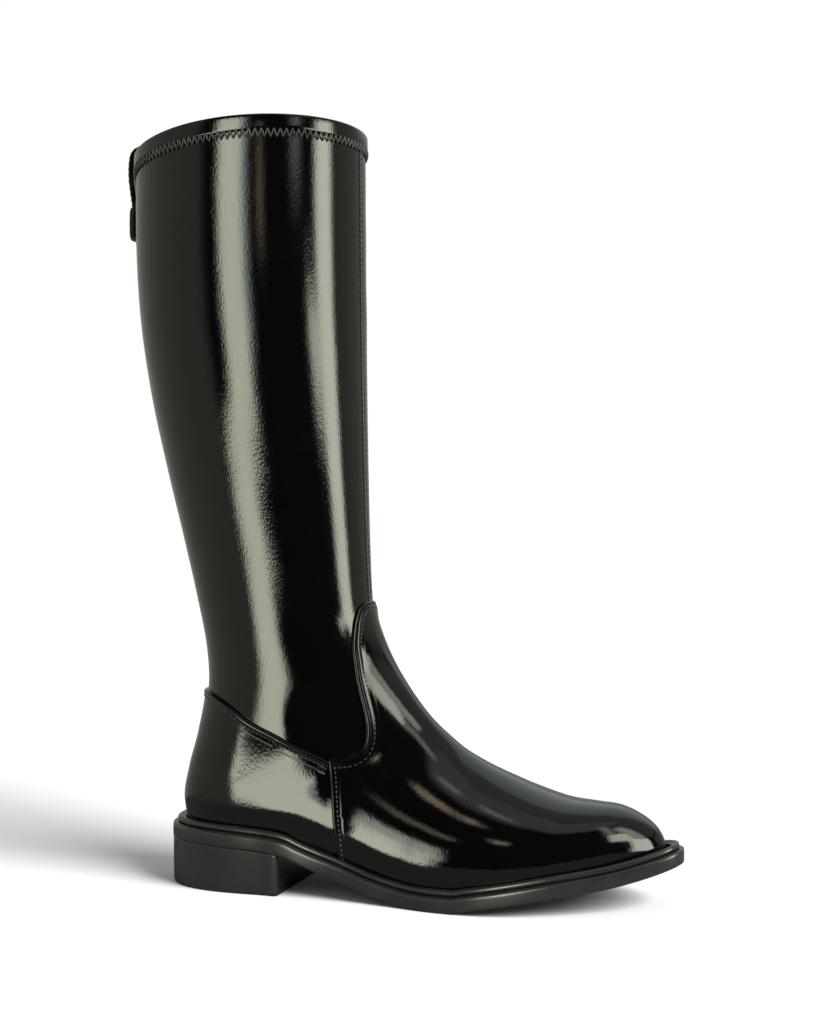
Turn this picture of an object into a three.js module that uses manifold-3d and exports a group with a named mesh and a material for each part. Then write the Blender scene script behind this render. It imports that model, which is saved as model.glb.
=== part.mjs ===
// A knee-height boot in black stretch patent leather, right foot, standing empty on its sole.
// Millimetres. X runs from heel to toe, Y to the inner side of the foot, Z up, the floor at 0.
import * as THREE from "three";
import { mergeVertices } from "three/addons/utils/BufferGeometryUtils.js";
import Module from "manifold-3d";

const wasm = await Module();
wasm.setup();

// Driving sizes of the last and the leg
const soleLength = 278;
const ballWidth = 86;
const collarWidth = 114;
const bootHeight = 402.5;
const instepRise = 142;
const heelHeight = 24.5;
const heelLength = 73;
const toeSpring = 22.5;
const collarDrop = 12.2;
const collarBend = 0.72;

// Wall, overlays and the clearance between pieces that meet
const wall = 1.8;
const clearance = 0.3;
const seatGap = 0.5;
const overlayThickness = 1.3;
const pipingRise = 0.9;
const pipingWidth = 2.6;
const hemThickness = 0.9;
const hemHeight = 8.5;

// Bottom pieces
const soleThickness = 7.6;
const soleEdgeRound = 1.2;
const sideMargin = 6.4;
const endMargin = 9;
const ledgeWidth = 2.8;
const weltHeight = 3.5;
const weltRound = 1.1;
const heelInset = 0.9;
const heelFlare = 0.8;
const insoleThickness = 3;
const insoleGap = 1.8;

// Zip on the inner side
const zipSlotWidth = 9;
const zipChainWidth = 5;
const zipTapeThickness = 0.9;
const zipChainRise = 0.7;
const sliderLength = 11;
const sliderWidth = 8.4;
const sliderThickness = 1.8;
const sliderRound = 2.4;
const sliderDrop = 8;
const crownWidth = 1.8;
const crownInner = 1.8;
const crownWire = 1.3;
const crownLeg = 0.8;
const pullLength = 25;
const pullWidth = 6.4;
const pullThickness = 1.4;
const pullRound = 2.8;
const pullEyeWidth = 3.4;
const pullEyeLength = 4.1;
const pullEyeRound = 0.4;
const pinGap = 0.5;

// Strap at the back of the collar
const strapWidth = 12;
const strapThickness = 2.2;
const strapInsideLength = 14;
const strapOutsideLength = 23.6;
const strapGap = 1;
const strapStandOff = 6.2;
const strapLean = 2;
const strapCrown = 9.2;
const tabLength = 20;
const tabStandOff = 7.9;
const tabRound = 3;
const tabOverlap = 2;
const tabGap = 0.8;
const studRadius = 4.6;
const studThickness = 1.1;

// How finely the form is divided
const stations = 34;
const spokes = 26;
const outlineSteps = 42;
const seatSteps = 36;
const halvings = 40;
const tolerance = 0.06;
const bendSteps = 8;
const cutWidth = 200;

// Height of the sole's underside along the foot: x as a share of the sole's length, then the
// shares of the heel's height and of the toe spring that it takes there
const undersideRows = [
  [0, 1, 0],
  [0.13, 0.97, 0],
  [0.25, 0.88, 0],
  [0.275, 0.82, 0],
  [0.3, 0.7, 0],
  [0.33, 0.575, 0],
  [0.365, 0.455, 0],
  [0.4, 0.325, 0],
  [0.44, 0.185, 0],
  [0.48, 0.08, 0],
  [0.515, 0.022, 0],
  [0.545, 0, 0],
  [0.6, 0, 0],
  [0.63, 0, 0.07],
  [0.68, 0, 0.18],
  [0.78, 0, 0.4],
  [0.87, 0, 0.58],
  [0.94, 0, 0.78],
  [1, 0, 1],
];

// Sections of the leg, level, from above the collar down. Columns: front edge and back edge as
// shares of the sole's length, height as a share of the leg's height, outer and inner half width
// as shares of the collar's width, place of the widest point from the front, roundness behind it
const legRows = [
  [0.381, -0.067, 1.04, 0.5, 0.5, 0.5, 2],
  [0.3815, -0.069, 0.917, 0.502, 0.502, 0.5, 2],
  [0.3825, -0.069, 0.752, 0.5, 0.5, 0.5, 2],
  [0.384, -0.06, 0.587, 0.485, 0.485, 0.5, 2],
  [0.3865, -0.038, 0.421, 0.452, 0.452, 0.5, 2],
  [0.39, -0.005, 0.256, 0.408, 0.408, 0.49, 2.05],
  [0.394, 0.027, 0.112, 0.368, 0.368, 0.49, 2.1],
];

// Sections of the foot, each slanting from a front point on the ridge to a back point at the
// heel or under the ball. Columns: front x as a share of the sole's length, front height above
// the seat as a share of the instep rise, the same two for the back point, outer and inner half
// width as shares of the ball width, place of the widest point from the front, roundness before
// it and behind it
const footRows = [
  [0.399, 0.998, 0.055, 0.847, 0.451, 0.451, 0.49, 2, 2.1],
  [0.405, 0.904, 0.073, 0.664, 0.426, 0.426, 0.49, 2, 2.1],
  [0.422, 0.823, 0.075, 0.509, 0.398, 0.398, 0.49, 2, 2.1],
  [0.443, 0.752, 0.059, 0.34, 0.378, 0.378, 0.49, 2, 2.2],
  [0.468, 0.686, 0.04, 0.198, 0.364, 0.364, 0.49, 2, 2.4],
  [0.496, 0.621, 0.033, 0.071, 0.358, 0.358, 0.5, 2, 2.6],
  [0.524, 0.565, 0.065, -0.054, 0.362, 0.362, 0.53, 2, 2.7],
  [0.554, 0.514, 0.18, -0.073, 0.378, 0.38, 0.57, 2, 2.3],
  [0.586, 0.464, 0.324, -0.052, 0.404, 0.414, 0.62, 2, 2.5],
  [0.627, 0.408, 0.45, -0.039, 0.442, 0.463, 0.66, 2.05, 2.8],
  [0.674, 0.35, 0.565, -0.046, 0.472, 0.488, 0.69, 2.1, 3],
  [0.729, 0.289, 0.662, -0.062, 0.465, 0.486, 0.7, 2.15, 2.6],
  [0.783, 0.239, 0.737, -0.06, 0.423, 0.456, 0.7, 2.2, 2.3],
  [0.834, 0.212, 0.799, -0.052, 0.363, 0.407, 0.68, 2.2, 2.2],
  [0.879, 0.188, 0.849, -0.047, 0.293, 0.347, 0.66, 2.2, 2.2],
  [0.917, 0.143, 0.888, -0.048, 0.219, 0.274, 0.64, 2.15, 2.2],
  [0.945, 0.089, 0.917, -0.047, 0.147, 0.193, 0.61, 2.1, 2.2],
  [0.96, 0.028, 0.935, -0.048, 0.093, 0.123, 0.6, 2, 2.2],
  [0.962, -0.024, 0.942, -0.052, 0.058, 0.081, 0.6, 2, 2.2],
];

// Seam lines in side view: x as a share of the sole's length, height above the seat as a share
// of the instep rise
const counterTopRows = [
  [-0.05, 0.51],
  [0.06, 0.508],
  [0.1, 0.505],
  [0.138, 0.483],
  [0.169, 0.453],
  [0.198, 0.42],
  [0.227, 0.397],
  [0.255, 0.378],
  [0.283, 0.366],
  [0.31, 0.366],
  [0.336, 0.362],
  [0.353, 0.356],
];
const sideSeamRows = [
  [0.353, 0.356],
  [0.358, 0.301],
  [0.362, 0.255],
  [0.365, 0.207],
  [0.368, 0.153],
  [0.371, 0.119],
  [0.375, 0.06],
  [0.377, -0.1],
];
const vampTopRows = [
  [0.353, 0.356],
  [0.375, 0.368],
  [0.394, 0.385],
  [0.414, 0.417],
  [0.423, 0.455],
  [0.4255, 0.502],
  [0.4225, 0.549],
  [0.4155, 0.595],
  [0.408, 0.641],
  [0.4015, 0.688],
  [0.3965, 0.74],
  [0.392, 0.79],
  [0.391, 0.84],
  [0.391, 0.884],
  [0.394, 0.925],
  [0.402, 0.952],
  [0.42, 0.964],
  [0.5, 0.966],
];

// The zip's middle line in side view: shares of the sole's length and of the boot's height
const zipRows = [
  [0.074, 1.04],
  [0.084, 0.98],
  [0.122, 0.85],
  [0.166, 0.69],
  [0.209, 0.555],
  [0.25, 0.425],
  [0.3, 0.3],
  [0.345, 0.19],
];

// A smooth curve through the rows of a table, none of which it overshoots
function smoothTable(rows, column) {
  const slope = (i) =>
    (rows[i + 1][column] - rows[i][column]) / (rows[i + 1][0] - rows[i][0]);
  const last = rows.length - 1;
  const tangents = rows.map((row, i) => {
    if (i === 0) return slope(0);
    if (i === last) return slope(last - 1);
    const before = slope(i - 1);
    const after = slope(i);
    return before * after <= 0 ? 0 : (2 * before * after) / (before + after);
  });
  return (x) => {
    let i = 0;
    while (i < last - 1 && x > rows[i + 1][0]) i += 1;
    const width = rows[i + 1][0] - rows[i][0];
    const u = (x - rows[i][0]) / width;
    if (u < 0) return rows[0][column] + tangents[0] * (x - rows[0][0]);
    if (u > 1) return rows[last][column] + tangents[last] * (x - rows[last][0]);
    const u2 = u * u;
    const u3 = u2 * u;
    return (
      (2 * u3 - 3 * u2 + 1) * rows[i][column] +
      (u3 - 2 * u2 + u) * width * tangents[i] +
      (3 * u2 - 2 * u3) * rows[i + 1][column] +
      (u3 - u2) * width * tangents[i + 1]
    );
  };
}

const heelShare = smoothTable(undersideRows, 1);
const springShare = smoothTable(undersideRows, 2);

// Underside of the outsole at x, and the seat on top of it that the upper stands on
function underside(x) {
  const along = x / soleLength;
  return heelHeight * heelShare(along) + toeSpring * springShare(along);
}
const seat = (x) => underside(x) + soleThickness;

// The place in side view that a row's share of the sole's length and of the instep rise name
function onFoot(along, up) {
  const x = along * soleLength;
  return [x, seat(x) + up * instepRise];
}

// All sections in millimetres, from the collar to the toe
const legFoot = onFoot(legRows[legRows.length - 1][0], 1)[1];
const sections = [
  ...legRows.map(([front, back, up, outer, inner, widest, round]) => {
    const z = legFoot + up * (bootHeight - legFoot);
    return [
      front * soleLength,
      z,
      back * soleLength,
      z,
      outer * collarWidth,
      inner * collarWidth,
      widest,
      2,
      round,
    ];
  }),
  ...footRows.map(([front, frontUp, back, backUp, outer, inner, ...shape]) => [
    ...onFoot(front, frontUp),
    ...onFoot(back, backUp),
    outer * ballWidth,
    inner * ballWidth,
    ...shape,
  ]),
];

// The section at station t, between two rows, by a Catmull-Rom curve through each column
function sectionAt(t) {
  const last = sections.length - 1;
  const i = Math.min(Math.max(Math.floor(t), 0), last - 1);
  const u = t - i;
  return sections[i].map((p1, k) => {
    const p2 = sections[i + 1][k];
    const p0 = i > 0 ? sections[i - 1][k] : 2 * p1 - p2;
    const p3 = i < last - 1 ? sections[i + 2][k] : 2 * p2 - p1;
    return (
      0.5 *
      (2 * p1 +
        (p2 - p0) * u +
        (2 * p0 - 5 * p1 + 4 * p2 - p3) * u * u +
        (3 * p1 - p0 - 3 * p2 + p3) * u * u * u)
    );
  });
}

// The upper's outer form: station t from the collar down, angle 0 on the front ridge, a quarter
// turn at the inner side and half a turn at the back
function formPoint(t, angle) {
  const [fx, fz, bx, bz, outer, inner, widest, before, behind] = sectionAt(t);
  const c = Math.cos(angle);
  const s = Math.sin(angle);
  const power = 2 / (c > 0 ? before : behind);
  const along = Math.sign(c) * Math.abs(c) ** power;
  const across = Math.sign(s) * Math.abs(s) ** power;
  const k = c > 0 ? widest * (1 - along) : widest - (1 - widest) * along;
  return new THREE.Vector3(
    fx + (bx - fx) * k,
    across * (s > 0 ? inner : outer),
    fz + (bz - fz) * k,
  );
}

// The form's outward normal, from points a small step to each side
function formNormal(t, angle) {
  const step = 0.02;
  const low = Math.max(t - step, 0);
  const high = Math.min(t + step, sections.length - 1);
  const down = formPoint(high, angle).sub(formPoint(low, angle));
  const round = formPoint(t, angle + step).sub(formPoint(t, angle - step));
  return down.cross(round).normalize();
}

// A point at a distance outside the form, or inside it where the distance is negative
function formAt(t, angle, distance) {
  return formPoint(t, angle).addScaledVector(formNormal(t, angle), distance);
}

// A manifold solid from points and triangles
function solidFrom(points, triangles) {
  const vertProperties = new Float32Array(points.flatMap((p) => [p.x, p.y, p.z]));
  const triVerts = new Uint32Array(triangles.flat());
  return new wasm.Manifold(
    new wasm.Mesh({ numProp: 3, vertProperties, triVerts }),
  );
}

// A manifold solid from one of three.js's closed geometries
function solidOf(geometry) {
  const bare = geometry.clone();
  bare.deleteAttribute("normal");
  bare.deleteAttribute("uv");
  const merged = mergeVertices(bare, 1e-4);
  return new wasm.Manifold(
    new wasm.Mesh({
      numProp: 3,
      vertProperties: merged.attributes.position.array,
      triVerts: new Uint32Array(merged.index.array),
    }),
  );
}

// Two triangles for the four-sided face between index i and j of two rows of points
const quad = (a, b, c, d) => [
  [a, b, c],
  [a, c, d],
];

// The whole form as a solid, moved out by a distance, with a fan over each end
function bulk(distance) {
  const points = [];
  const triangles = [];
  for (let i = 0; i <= stations; i += 1) {
    const t = (i / stations) * (sections.length - 1);
    for (let j = 0; j < spokes; j += 1)
      points.push(formAt(t, (j / spokes) * 2 * Math.PI, distance));
  }
  for (let i = 0; i < stations; i += 1)
    for (let j = 0; j < spokes; j += 1) {
      const a = i * spokes + j;
      const b = i * spokes + ((j + 1) % spokes);
      triangles.push(...quad(a, a + spokes, b + spokes, b));
    }
  [0, stations].forEach((end) => {
    const ring = points.slice(end * spokes, (end + 1) * spokes);
    const middle = ring
      .reduce((sum, p) => sum.add(p), new THREE.Vector3())
      .divideScalar(spokes);
    points.push(middle);
    const hub = points.length - 1;
    for (let j = 0; j < spokes; j += 1) {
      const a = end * spokes + j;
      const b = end * spokes + ((j + 1) % spokes);
      triangles.push(end === 0 ? [a, b, hub] : [b, a, hub]);
    }
  });
  return solidFrom(points, triangles);
}

// The space between two distances from the form
function shell(outerDistance, innerDistance) {
  return bulk(outerDistance).subtract(bulk(innerDistance));
}

// A prism through the boot from an outline in side view, between two places across
function sideCut(outline, from = -cutWidth / 2, to = cutWidth / 2) {
  const shape = new THREE.Shape(outline.map(([x, z]) => new THREE.Vector2(x, z)));
  const geometry = new THREE.ExtrudeGeometry(shape, {
    depth: to - from,
    bevelEnabled: false,
  });
  geometry.rotateX(Math.PI / 2);
  geometry.translate(0, to, 0);
  return solidOf(geometry);
}

// Points of a smooth curve through a seam's rows
function curveThrough(places, steps) {
  const curve = new THREE.SplineCurve(
    places.map(([x, z]) => new THREE.Vector2(x, z)),
  );
  return curve.getPoints(steps).map((p) => [p.x, p.y]);
}

// A line in side view moved sideways by a distance, to the left of its direction
function beside(line, distance) {
  return line.map(([x, z], i) => {
    const [x0, z0] = line[Math.max(i - 1, 0)];
    const [x1, z1] = line[Math.min(i + 1, line.length - 1)];
    const length = Math.hypot(x1 - x0, z1 - z0);
    return [
      x - ((z1 - z0) / length) * distance,
      z + ((x1 - x0) / length) * distance,
    ];
  });
}

// A band along a line in side view, between two distances to its left
function bandAlong(line, from, to) {
  return [...beside(line, from), ...beside(line, to).reverse()];
}

// The collar's edge in side view, nearly level at the front and falling towards the back
const collarFront = sections[0][0];
const collarBack = sections[0][2];
function rim(x) {
  const behind = (collarFront - x) / (collarFront - collarBack);
  return bootHeight - collarDrop * behind * (1 - collarBend * (1 - behind));
}

// A line at a fixed depth below the collar's edge, running forward, past the leg on both sides
function rimLine(depth) {
  const past = 3;
  const steps = 12;
  const span = collarFront - collarBack + 2 * past;
  return Array.from({ length: steps + 1 }, (unused, i) => {
    const x = collarBack - past + (span * i) / steps;
    return [x, rim(x) - depth];
  });
}

// The seat's line in side view, from behind the heel to past the toe, raised by a clearance
function seatLine(raise) {
  const from = -0.05 * soleLength;
  const to = 1.05 * soleLength;
  return Array.from({ length: seatSteps + 1 }, (unused, i) => {
    const x = from + ((to - from) * i) / seatSteps;
    return [x, seat(x) + raise];
  });
}

// Everything between the seat and the collar's edge
function trimmed(solid) {
  return solid.intersect(
    sideCut([...seatLine(seatGap), ...rimLine(0).reverse()]),
  );
}

// Two numbers between which a rising test turns true, narrowed down to one
function turningPoint(test, low, high) {
  let a = low;
  let b = high;
  for (let i = 0; i < halvings; i += 1) {
    const middle = (a + b) / 2;
    if (test(middle)) b = middle;
    else a = middle;
  }
  return (a + b) / 2;
}

// Where the form, moved out by a distance, stands at a rise above the seat: a line of points
// along one side, from the heel's middle to the toe's. Side is 1 for inner, -1 for outer
function footEdge(distance, rise, side) {
  const below = (t, angle) => {
    const p = formAt(t, angle * side, distance);
    return p.z < seat(p.x) + rise;
  };
  const heelEnd = turningPoint((t) => below(t, Math.PI), 8, 16);
  const toeEnd = turningPoint((t) => below(t, 0), 16, sections.length - 1);
  const steps = 48;
  return Array.from({ length: steps + 1 }, (unused, i) => {
    const ease = (1 - Math.cos((Math.PI * i) / steps)) / 2;
    const t = heelEnd + (toeEnd - heelEnd) * ease;
    const angle = turningPoint((a) => below(t, a), 0, Math.PI);
    const p = formAt(t, angle * side, distance);
    return [p.x, i === 0 || i === steps ? 0 : p.y];
  });
}

// The outline of a bottom piece: the foot's edge at a rise, grown by margins at the sides and
// at the ends. It gives each side's y at any x, and where it starts and ends
function outline(distance, rise, side, end) {
  const half = (sign) => {
    const line = footEdge(distance, rise, sign);
    const grown = line.map(([x, y], i) => {
      const [x0, y0] = i === 0 ? [line[1][0], -line[1][1]] : line[i - 1];
      const [x1, y1] =
        i === line.length - 1 ? [line[i - 1][0], -line[i - 1][1]] : line[i + 1];
      const length = Math.hypot(x1 - x0, y1 - y0);
      return [
        x - (sign * (y1 - y0) * end) / length,
        y + (sign * (x1 - x0) * side) / length,
      ];
    });
    return (x) => {
      let i = 0;
      while (i < grown.length - 2 && x > grown[i + 1][0]) i += 1;
      const [x0, y0] = grown[i];
      const [x1, y1] = grown[i + 1];
      return y0 + (y1 - y0) * Math.min(Math.max((x - x0) / (x1 - x0), 0), 1);
    };
  };
  const middle = footEdge(distance, rise, 1);
  return {
    from: middle[0][0] - end,
    to: middle[middle.length - 1][0] + end,
    outer: half(-1),
    inner: half(1),
  };
}

// The points of one ring of a bottom piece: from the heel along the outer side to the toe, and
// back along the inner side, at the height that a function of x gives
function ring({ edge, height }) {
  const place = (i) =>
    edge.from +
    ((edge.to - edge.from) * (1 - Math.cos((Math.PI * i) / outlineSteps))) / 2;
  const points = [];
  for (let i = 0; i < outlineSteps; i += 1) {
    const x = place(i);
    points.push(new THREE.Vector3(x, i === 0 ? 0 : edge.outer(x), height(x)));
  }
  for (let i = outlineSteps; i > 0; i -= 1) {
    const x = place(i);
    points.push(
      new THREE.Vector3(x, i === outlineSteps ? 0 : edge.inner(x), height(x)),
    );
  }
  return points;
}

// Side faces between rings that follow one another, as index triangles
function ringSides(count, closed) {
  const size = 2 * outlineSteps;
  const triangles = [];
  for (let k = 0; k < (closed ? count : count - 1); k += 1)
    for (let j = 0; j < size; j += 1) {
      const a = k * size + j;
      const b = k * size + ((j + 1) % size);
      const c = ((k + 1) % count) * size + ((j + 1) % size);
      const d = ((k + 1) % count) * size + j;
      triangles.push(...quad(a, b, c, d));
    }
  return triangles;
}

// A slab between a stack of rings, bottom first, with strips across its two faces
function slab(rings) {
  const size = 2 * outlineSteps;
  const triangles = ringSides(rings.length, false);
  const face = (start, up) => {
    for (let i = 0; i < outlineSteps; i += 1) {
      const a = start + i;
      const b = start + i + 1;
      const c = start + ((size - i - 1) % size);
      const d = start + ((size - i) % size);
      const corners = up ? [a, b, c, d] : [d, c, b, a];
      quad(...corners).forEach((t) => {
        if (new Set(t).size === 3) triangles.push(t);
      });
    }
  };
  face(0, false);
  face((rings.length - 1) * size, true);
  return solidFrom(rings.flatMap(ring), triangles);
}

// A band that runs right round the foot, from the rings round its section
function loop(rings) {
  return solidFrom(rings.flatMap(ring), ringSides(rings.length, true));
}

// Upper: leg and foot as one hollow wall, open at the collar, underneath and at the zip
const overlayInner = clearance;
const overlayOuter = clearance + overlayThickness;
const zipLine = curveThrough(
  zipRows.map(([along, up]) => [along * soleLength, up * bootHeight]),
  14,
);
const zipSlot = (width) =>
  sideCut(bandAlong(zipLine, -width / 2, width / 2), 0, cutWidth / 2);

function makeUpper() {
  return trimmed(shell(0, -wall)).subtract(zipSlot(zipSlotWidth));
}

// Seam lines of the overlays, in millimetres in side view
const counterTop = curveThrough(
  counterTopRows.map(([along, up]) => onFoot(along, up)),
  11,
);
const sideSeam = curveThrough(
  sideSeamRows.map(([along, up]) => onFoot(along, up)),
  6,
);
const vampTop = curveThrough(
  vampTopRows.map(([along, up]) => onFoot(along, up)),
  20,
);

// An overlay: a thin shell outside the upper inside an outline in side view, with a raised
// folded edge along its top line
function overlay(outlineInSide, edgeLine) {
  const inner = bulk(overlayInner);
  const panel = bulk(overlayOuter)
    .subtract(inner)
    .intersect(sideCut(outlineInSide));
  const raised = bulk(overlayOuter + pipingRise)
    .subtract(inner)
    .intersect(sideCut(bandAlong(edgeLine, -pipingWidth, 0)))
    .intersect(sideCut(outlineInSide));
  return trimmed(panel.add(raised));
}

function makeCounter() {
  const rear = -0.2 * soleLength;
  const seam = beside(sideSeam, -clearance);
  return overlay([...counterTop, ...seam, [rear, 0], [rear, counterTop[0][1]]], counterTop);
}

function makeVamp() {
  const front = 1.2 * soleLength;
  const top = vampTop[vampTop.length - 1][1];
  return overlay([...sideSeam.toReversed(), ...vampTop, [front, top], [front, 0]], vampTop);
}

// Hem: a slightly thicker band at the collar, open at the zip
function makeCollarBand() {
  const band = [...rimLine(hemHeight), ...rimLine(0).reverse()];
  return shell(clearance + hemThickness, clearance)
    .intersect(sideCut(band))
    .subtract(zipSlot(zipSlotWidth));
}

// Zip: the tape in the slot with the closed chain standing proud along its middle
function makeZip() {
  const top = sideCut([
    [collarBack, 0],
    [collarFront, 0],
    [collarFront, rim(collarFront)],
    [collarBack, rim(collarBack)],
  ]);
  const length = zipLine.length - 1;
  const [endX, endZ] = zipLine[length];
  const slotEnd = sideCut([
    [endX - cutWidth, endZ + clearance],
    [endX + cutWidth, endZ + clearance],
    [endX + cutWidth, bootHeight + cutWidth],
    [endX - cutWidth, bootHeight + cutWidth],
  ]);
  const tape = shell(-clearance, -clearance - zipTapeThickness).intersect(
    zipSlot(zipSlotWidth - 2 * clearance),
  );
  const chain = shell(zipChainRise, -clearance - zipTapeThickness).intersect(
    zipSlot(zipChainWidth),
  );
  return tape.add(chain).intersect(top).intersect(slotEnd);
}

// Bottom pieces
const weltInner = overlayOuter + seatGap;
const soleEdge = (inset) =>
  outline(overlayOuter, clearance, sideMargin - inset, endMargin - inset);

function makeOutsole() {
  const full = soleEdge(0);
  const tucked = soleEdge(soleEdgeRound);
  const topTucked = soleEdge(soleEdgeRound / 2);
  return slab([
    { edge: tucked, height: underside },
    { edge: full, height: (x) => underside(x) + soleEdgeRound },
    { edge: full, height: (x) => seat(x) - soleEdgeRound / 2 },
    { edge: topTucked, height: seat },
  ]);
}

function makeWelt() {
  const low = (x) => seat(x) + seatGap;
  const high = (x) => seat(x) + weltHeight;
  const inside = (rise) => outline(weltInner, rise, 0, 0);
  const outside = soleEdge(ledgeWidth);
  const rounded = soleEdge(ledgeWidth + weltRound);
  return loop([
    { edge: inside(seatGap), height: low },
    { edge: rounded, height: low },
    { edge: outside, height: (x) => low(x) + weltRound },
    { edge: outside, height: (x) => high(x) - weltRound },
    { edge: rounded, height: high },
    { edge: inside(weltHeight), height: high },
  ]);
}

function makeHeel() {
  const block = slab([
    { edge: soleEdge(heelInset + heelFlare), height: () => 0 },
    { edge: soleEdge(heelInset), height: (x) => underside(x) - seatGap },
  ]);
  const keep = new THREE.BoxGeometry(2 * heelLength, cutWidth, cutWidth);
  return block.intersect(solidOf(keep));
}

function makeInsole() {
  const edge = outline(-wall - insoleGap, clearance, 0, 0);
  return slab([
    { edge, height: (x) => seat(x) + seatGap },
    { edge, height: (x) => seat(x) + seatGap + insoleThickness },
  ]);
}

// Frame on the leg's surface where the slider sits: across the zip, up along it, and outward
function sliderFrame() {
  const [topX, topZ] = zipLine.find(([x, z]) => z < rim(x) - hemHeight - sliderDrop);
  const t = turningPoint((s) => formPoint(s, Math.PI / 2).z < topZ, 0, 6);
  const angle = turningPoint((a) => formPoint(t, a).x < topX, 0, Math.PI);
  const out = formNormal(t, angle);
  const index = zipLine.findIndex(([x, z]) => z < topZ);
  const [x0, z0] = zipLine[index - 2];
  const along = new THREE.Vector3(x0 - topX, 0, z0 - topZ);
  along.addScaledVector(out, -along.dot(out)).normalize();
  const across = along.clone().cross(out);
  const frame = new THREE.Matrix4().makeBasis(across, along, out);
  frame.setPosition(formAt(t, angle, zipChainRise + clearance));
  return frame;
}

// A rectangle with round corners, centred on a point
function roundedShape(width, length, round, middle = 0) {
  const w = width / 2;
  const low = middle - length / 2;
  const high = middle + length / 2;
  const shape = new THREE.Shape();
  shape.moveTo(w - round, low);
  shape.absarc(w - round, low + round, round, -Math.PI / 2, 0, false);
  shape.absarc(w - round, high - round, round, 0, Math.PI / 2, false);
  shape.absarc(round - w, high - round, round, Math.PI / 2, Math.PI, false);
  shape.absarc(round - w, low + round, round, Math.PI, 1.5 * Math.PI, false);
  return shape;
}

// Slider: a flat body on the chain with an arched crown along it
const crownOuter = crownInner + crownWire;
const pinHeight = sliderThickness + pinGap + pullThickness / 2;
function makeSlider() {
  const body = new THREE.ExtrudeGeometry(
    roundedShape(sliderWidth, sliderLength, sliderRound),
    { depth: sliderThickness, bevelEnabled: false, curveSegments: 3 },
  );
  const foot = sliderThickness / 2;
  const springing = sliderThickness + crownLeg;
  const arch = new THREE.Shape();
  arch.moveTo(crownOuter, foot);
  arch.lineTo(crownOuter, springing);
  arch.absarc(0, springing, crownOuter, 0, Math.PI, false);
  arch.lineTo(-crownOuter, foot);
  arch.lineTo(-crownInner, foot);
  arch.lineTo(-crownInner, springing);
  arch.absarc(0, springing, crownInner, Math.PI, 0, true);
  arch.lineTo(crownInner, foot);
  const crown = new THREE.ExtrudeGeometry(arch, {
    depth: crownWidth,
    bevelEnabled: false,
    curveSegments: 8,
  });
  crown.translate(0, 0, -crownWidth / 2);
  crown.applyMatrix4(
    new THREE.Matrix4().makeBasis(
      new THREE.Vector3(0, 1, 0),
      new THREE.Vector3(0, 0, 1),
      new THREE.Vector3(1, 0, 0),
    ),
  );
  return solidOf(body).add(solidOf(crown));
}

// Pull tab: a plate whose eye goes round the crown, hanging from its own top bar
function makePull() {
  const plate = roundedShape(
    pullWidth,
    pullLength,
    pullRound,
    pullThickness / 2 - pullLength / 2,
  );
  const eye = roundedShape(
    pullEyeWidth,
    pullEyeLength,
    pullEyeRound,
    -pullThickness / 2 - pullEyeLength / 2,
  );
  const options = { depth: pullThickness, bevelEnabled: false, curveSegments: 4 };
  const body = solidOf(new THREE.ExtrudeGeometry(plate, options));
  const hole = new THREE.ExtrudeGeometry(eye, { ...options, depth: 3 * pullThickness });
  hole.translate(0, 0, -pullThickness);
  return body.subtract(solidOf(hole)).translate([0, 0, -pullThickness / 2]);
}

// The leg's rearmost x at a height
function legBackAt(z) {
  const t = turningPoint((s) => formPoint(s, Math.PI).z < z, 0, 6);
  return formPoint(t, Math.PI).x;
}

// Strap: from inside the collar over its edge and down behind the leg, ending in a thick tab
const strapRimZ = rim(collarBack) + clearance;
const strapEndZ = strapRimZ - strapOutsideLength;
const tabMiddleZ = strapEndZ + tabOverlap - tabLength / 2;
const legBackX = legBackAt(strapRimZ);
const tabBackX = legBackX - tabStandOff;

function makeStrap() {
  const insideX = legBackX + wall + strapGap + strapThickness / 2;
  const outsideX = legBackX - strapStandOff + strapThickness / 2;
  const middleX = (insideX + outsideX) / 2;
  const reach = (insideX - outsideX) / 2;
  const line = [[insideX, strapRimZ - strapInsideLength]];
  for (let i = 0; i <= bendSteps; i += 1) {
    const a = (Math.PI * i) / bendSteps;
    line.push([middleX + reach * Math.cos(a), strapRimZ + strapCrown * Math.sin(a)]);
  }
  line.push([outsideX, strapRimZ - strapOutsideLength / 3]);
  line.push([outsideX + strapLean, strapEndZ]);
  const ribbon = sideCut(
    bandAlong(line, -strapThickness / 2, strapThickness / 2),
    -strapWidth / 2,
    strapWidth / 2,
  );
  const tabFrontX = legBackAt(tabMiddleZ) - tabGap;
  const shape = roundedShape(tabFrontX - tabBackX, tabLength, tabRound, tabMiddleZ);
  const tab = shape
    .getPoints(3)
    .map((p) => [p.x + (tabFrontX + tabBackX) / 2, p.y]);
  return ribbon.add(sideCut(tab, -strapWidth / 2, strapWidth / 2));
}

// Stud: a low domed cap on the tab's outer face. Rows: shares of its radius and of its thickness
const studRows = [
  [0, 0],
  [1, 0],
  [1, 0.35],
  [0.85, 0.75],
  [0.5, 0.95],
  [0, 1],
];
function makeStud() {
  const profile = studRows.map(
    ([out, up]) => new THREE.Vector2(out * studRadius, up * studThickness),
  );
  const cap = new THREE.LatheGeometry(profile, 16);
  cap.rotateZ(Math.PI / 2);
  cap.translate(tabBackX - clearance, 0, tabMiddleZ);
  return solidOf(cap);
}

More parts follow.
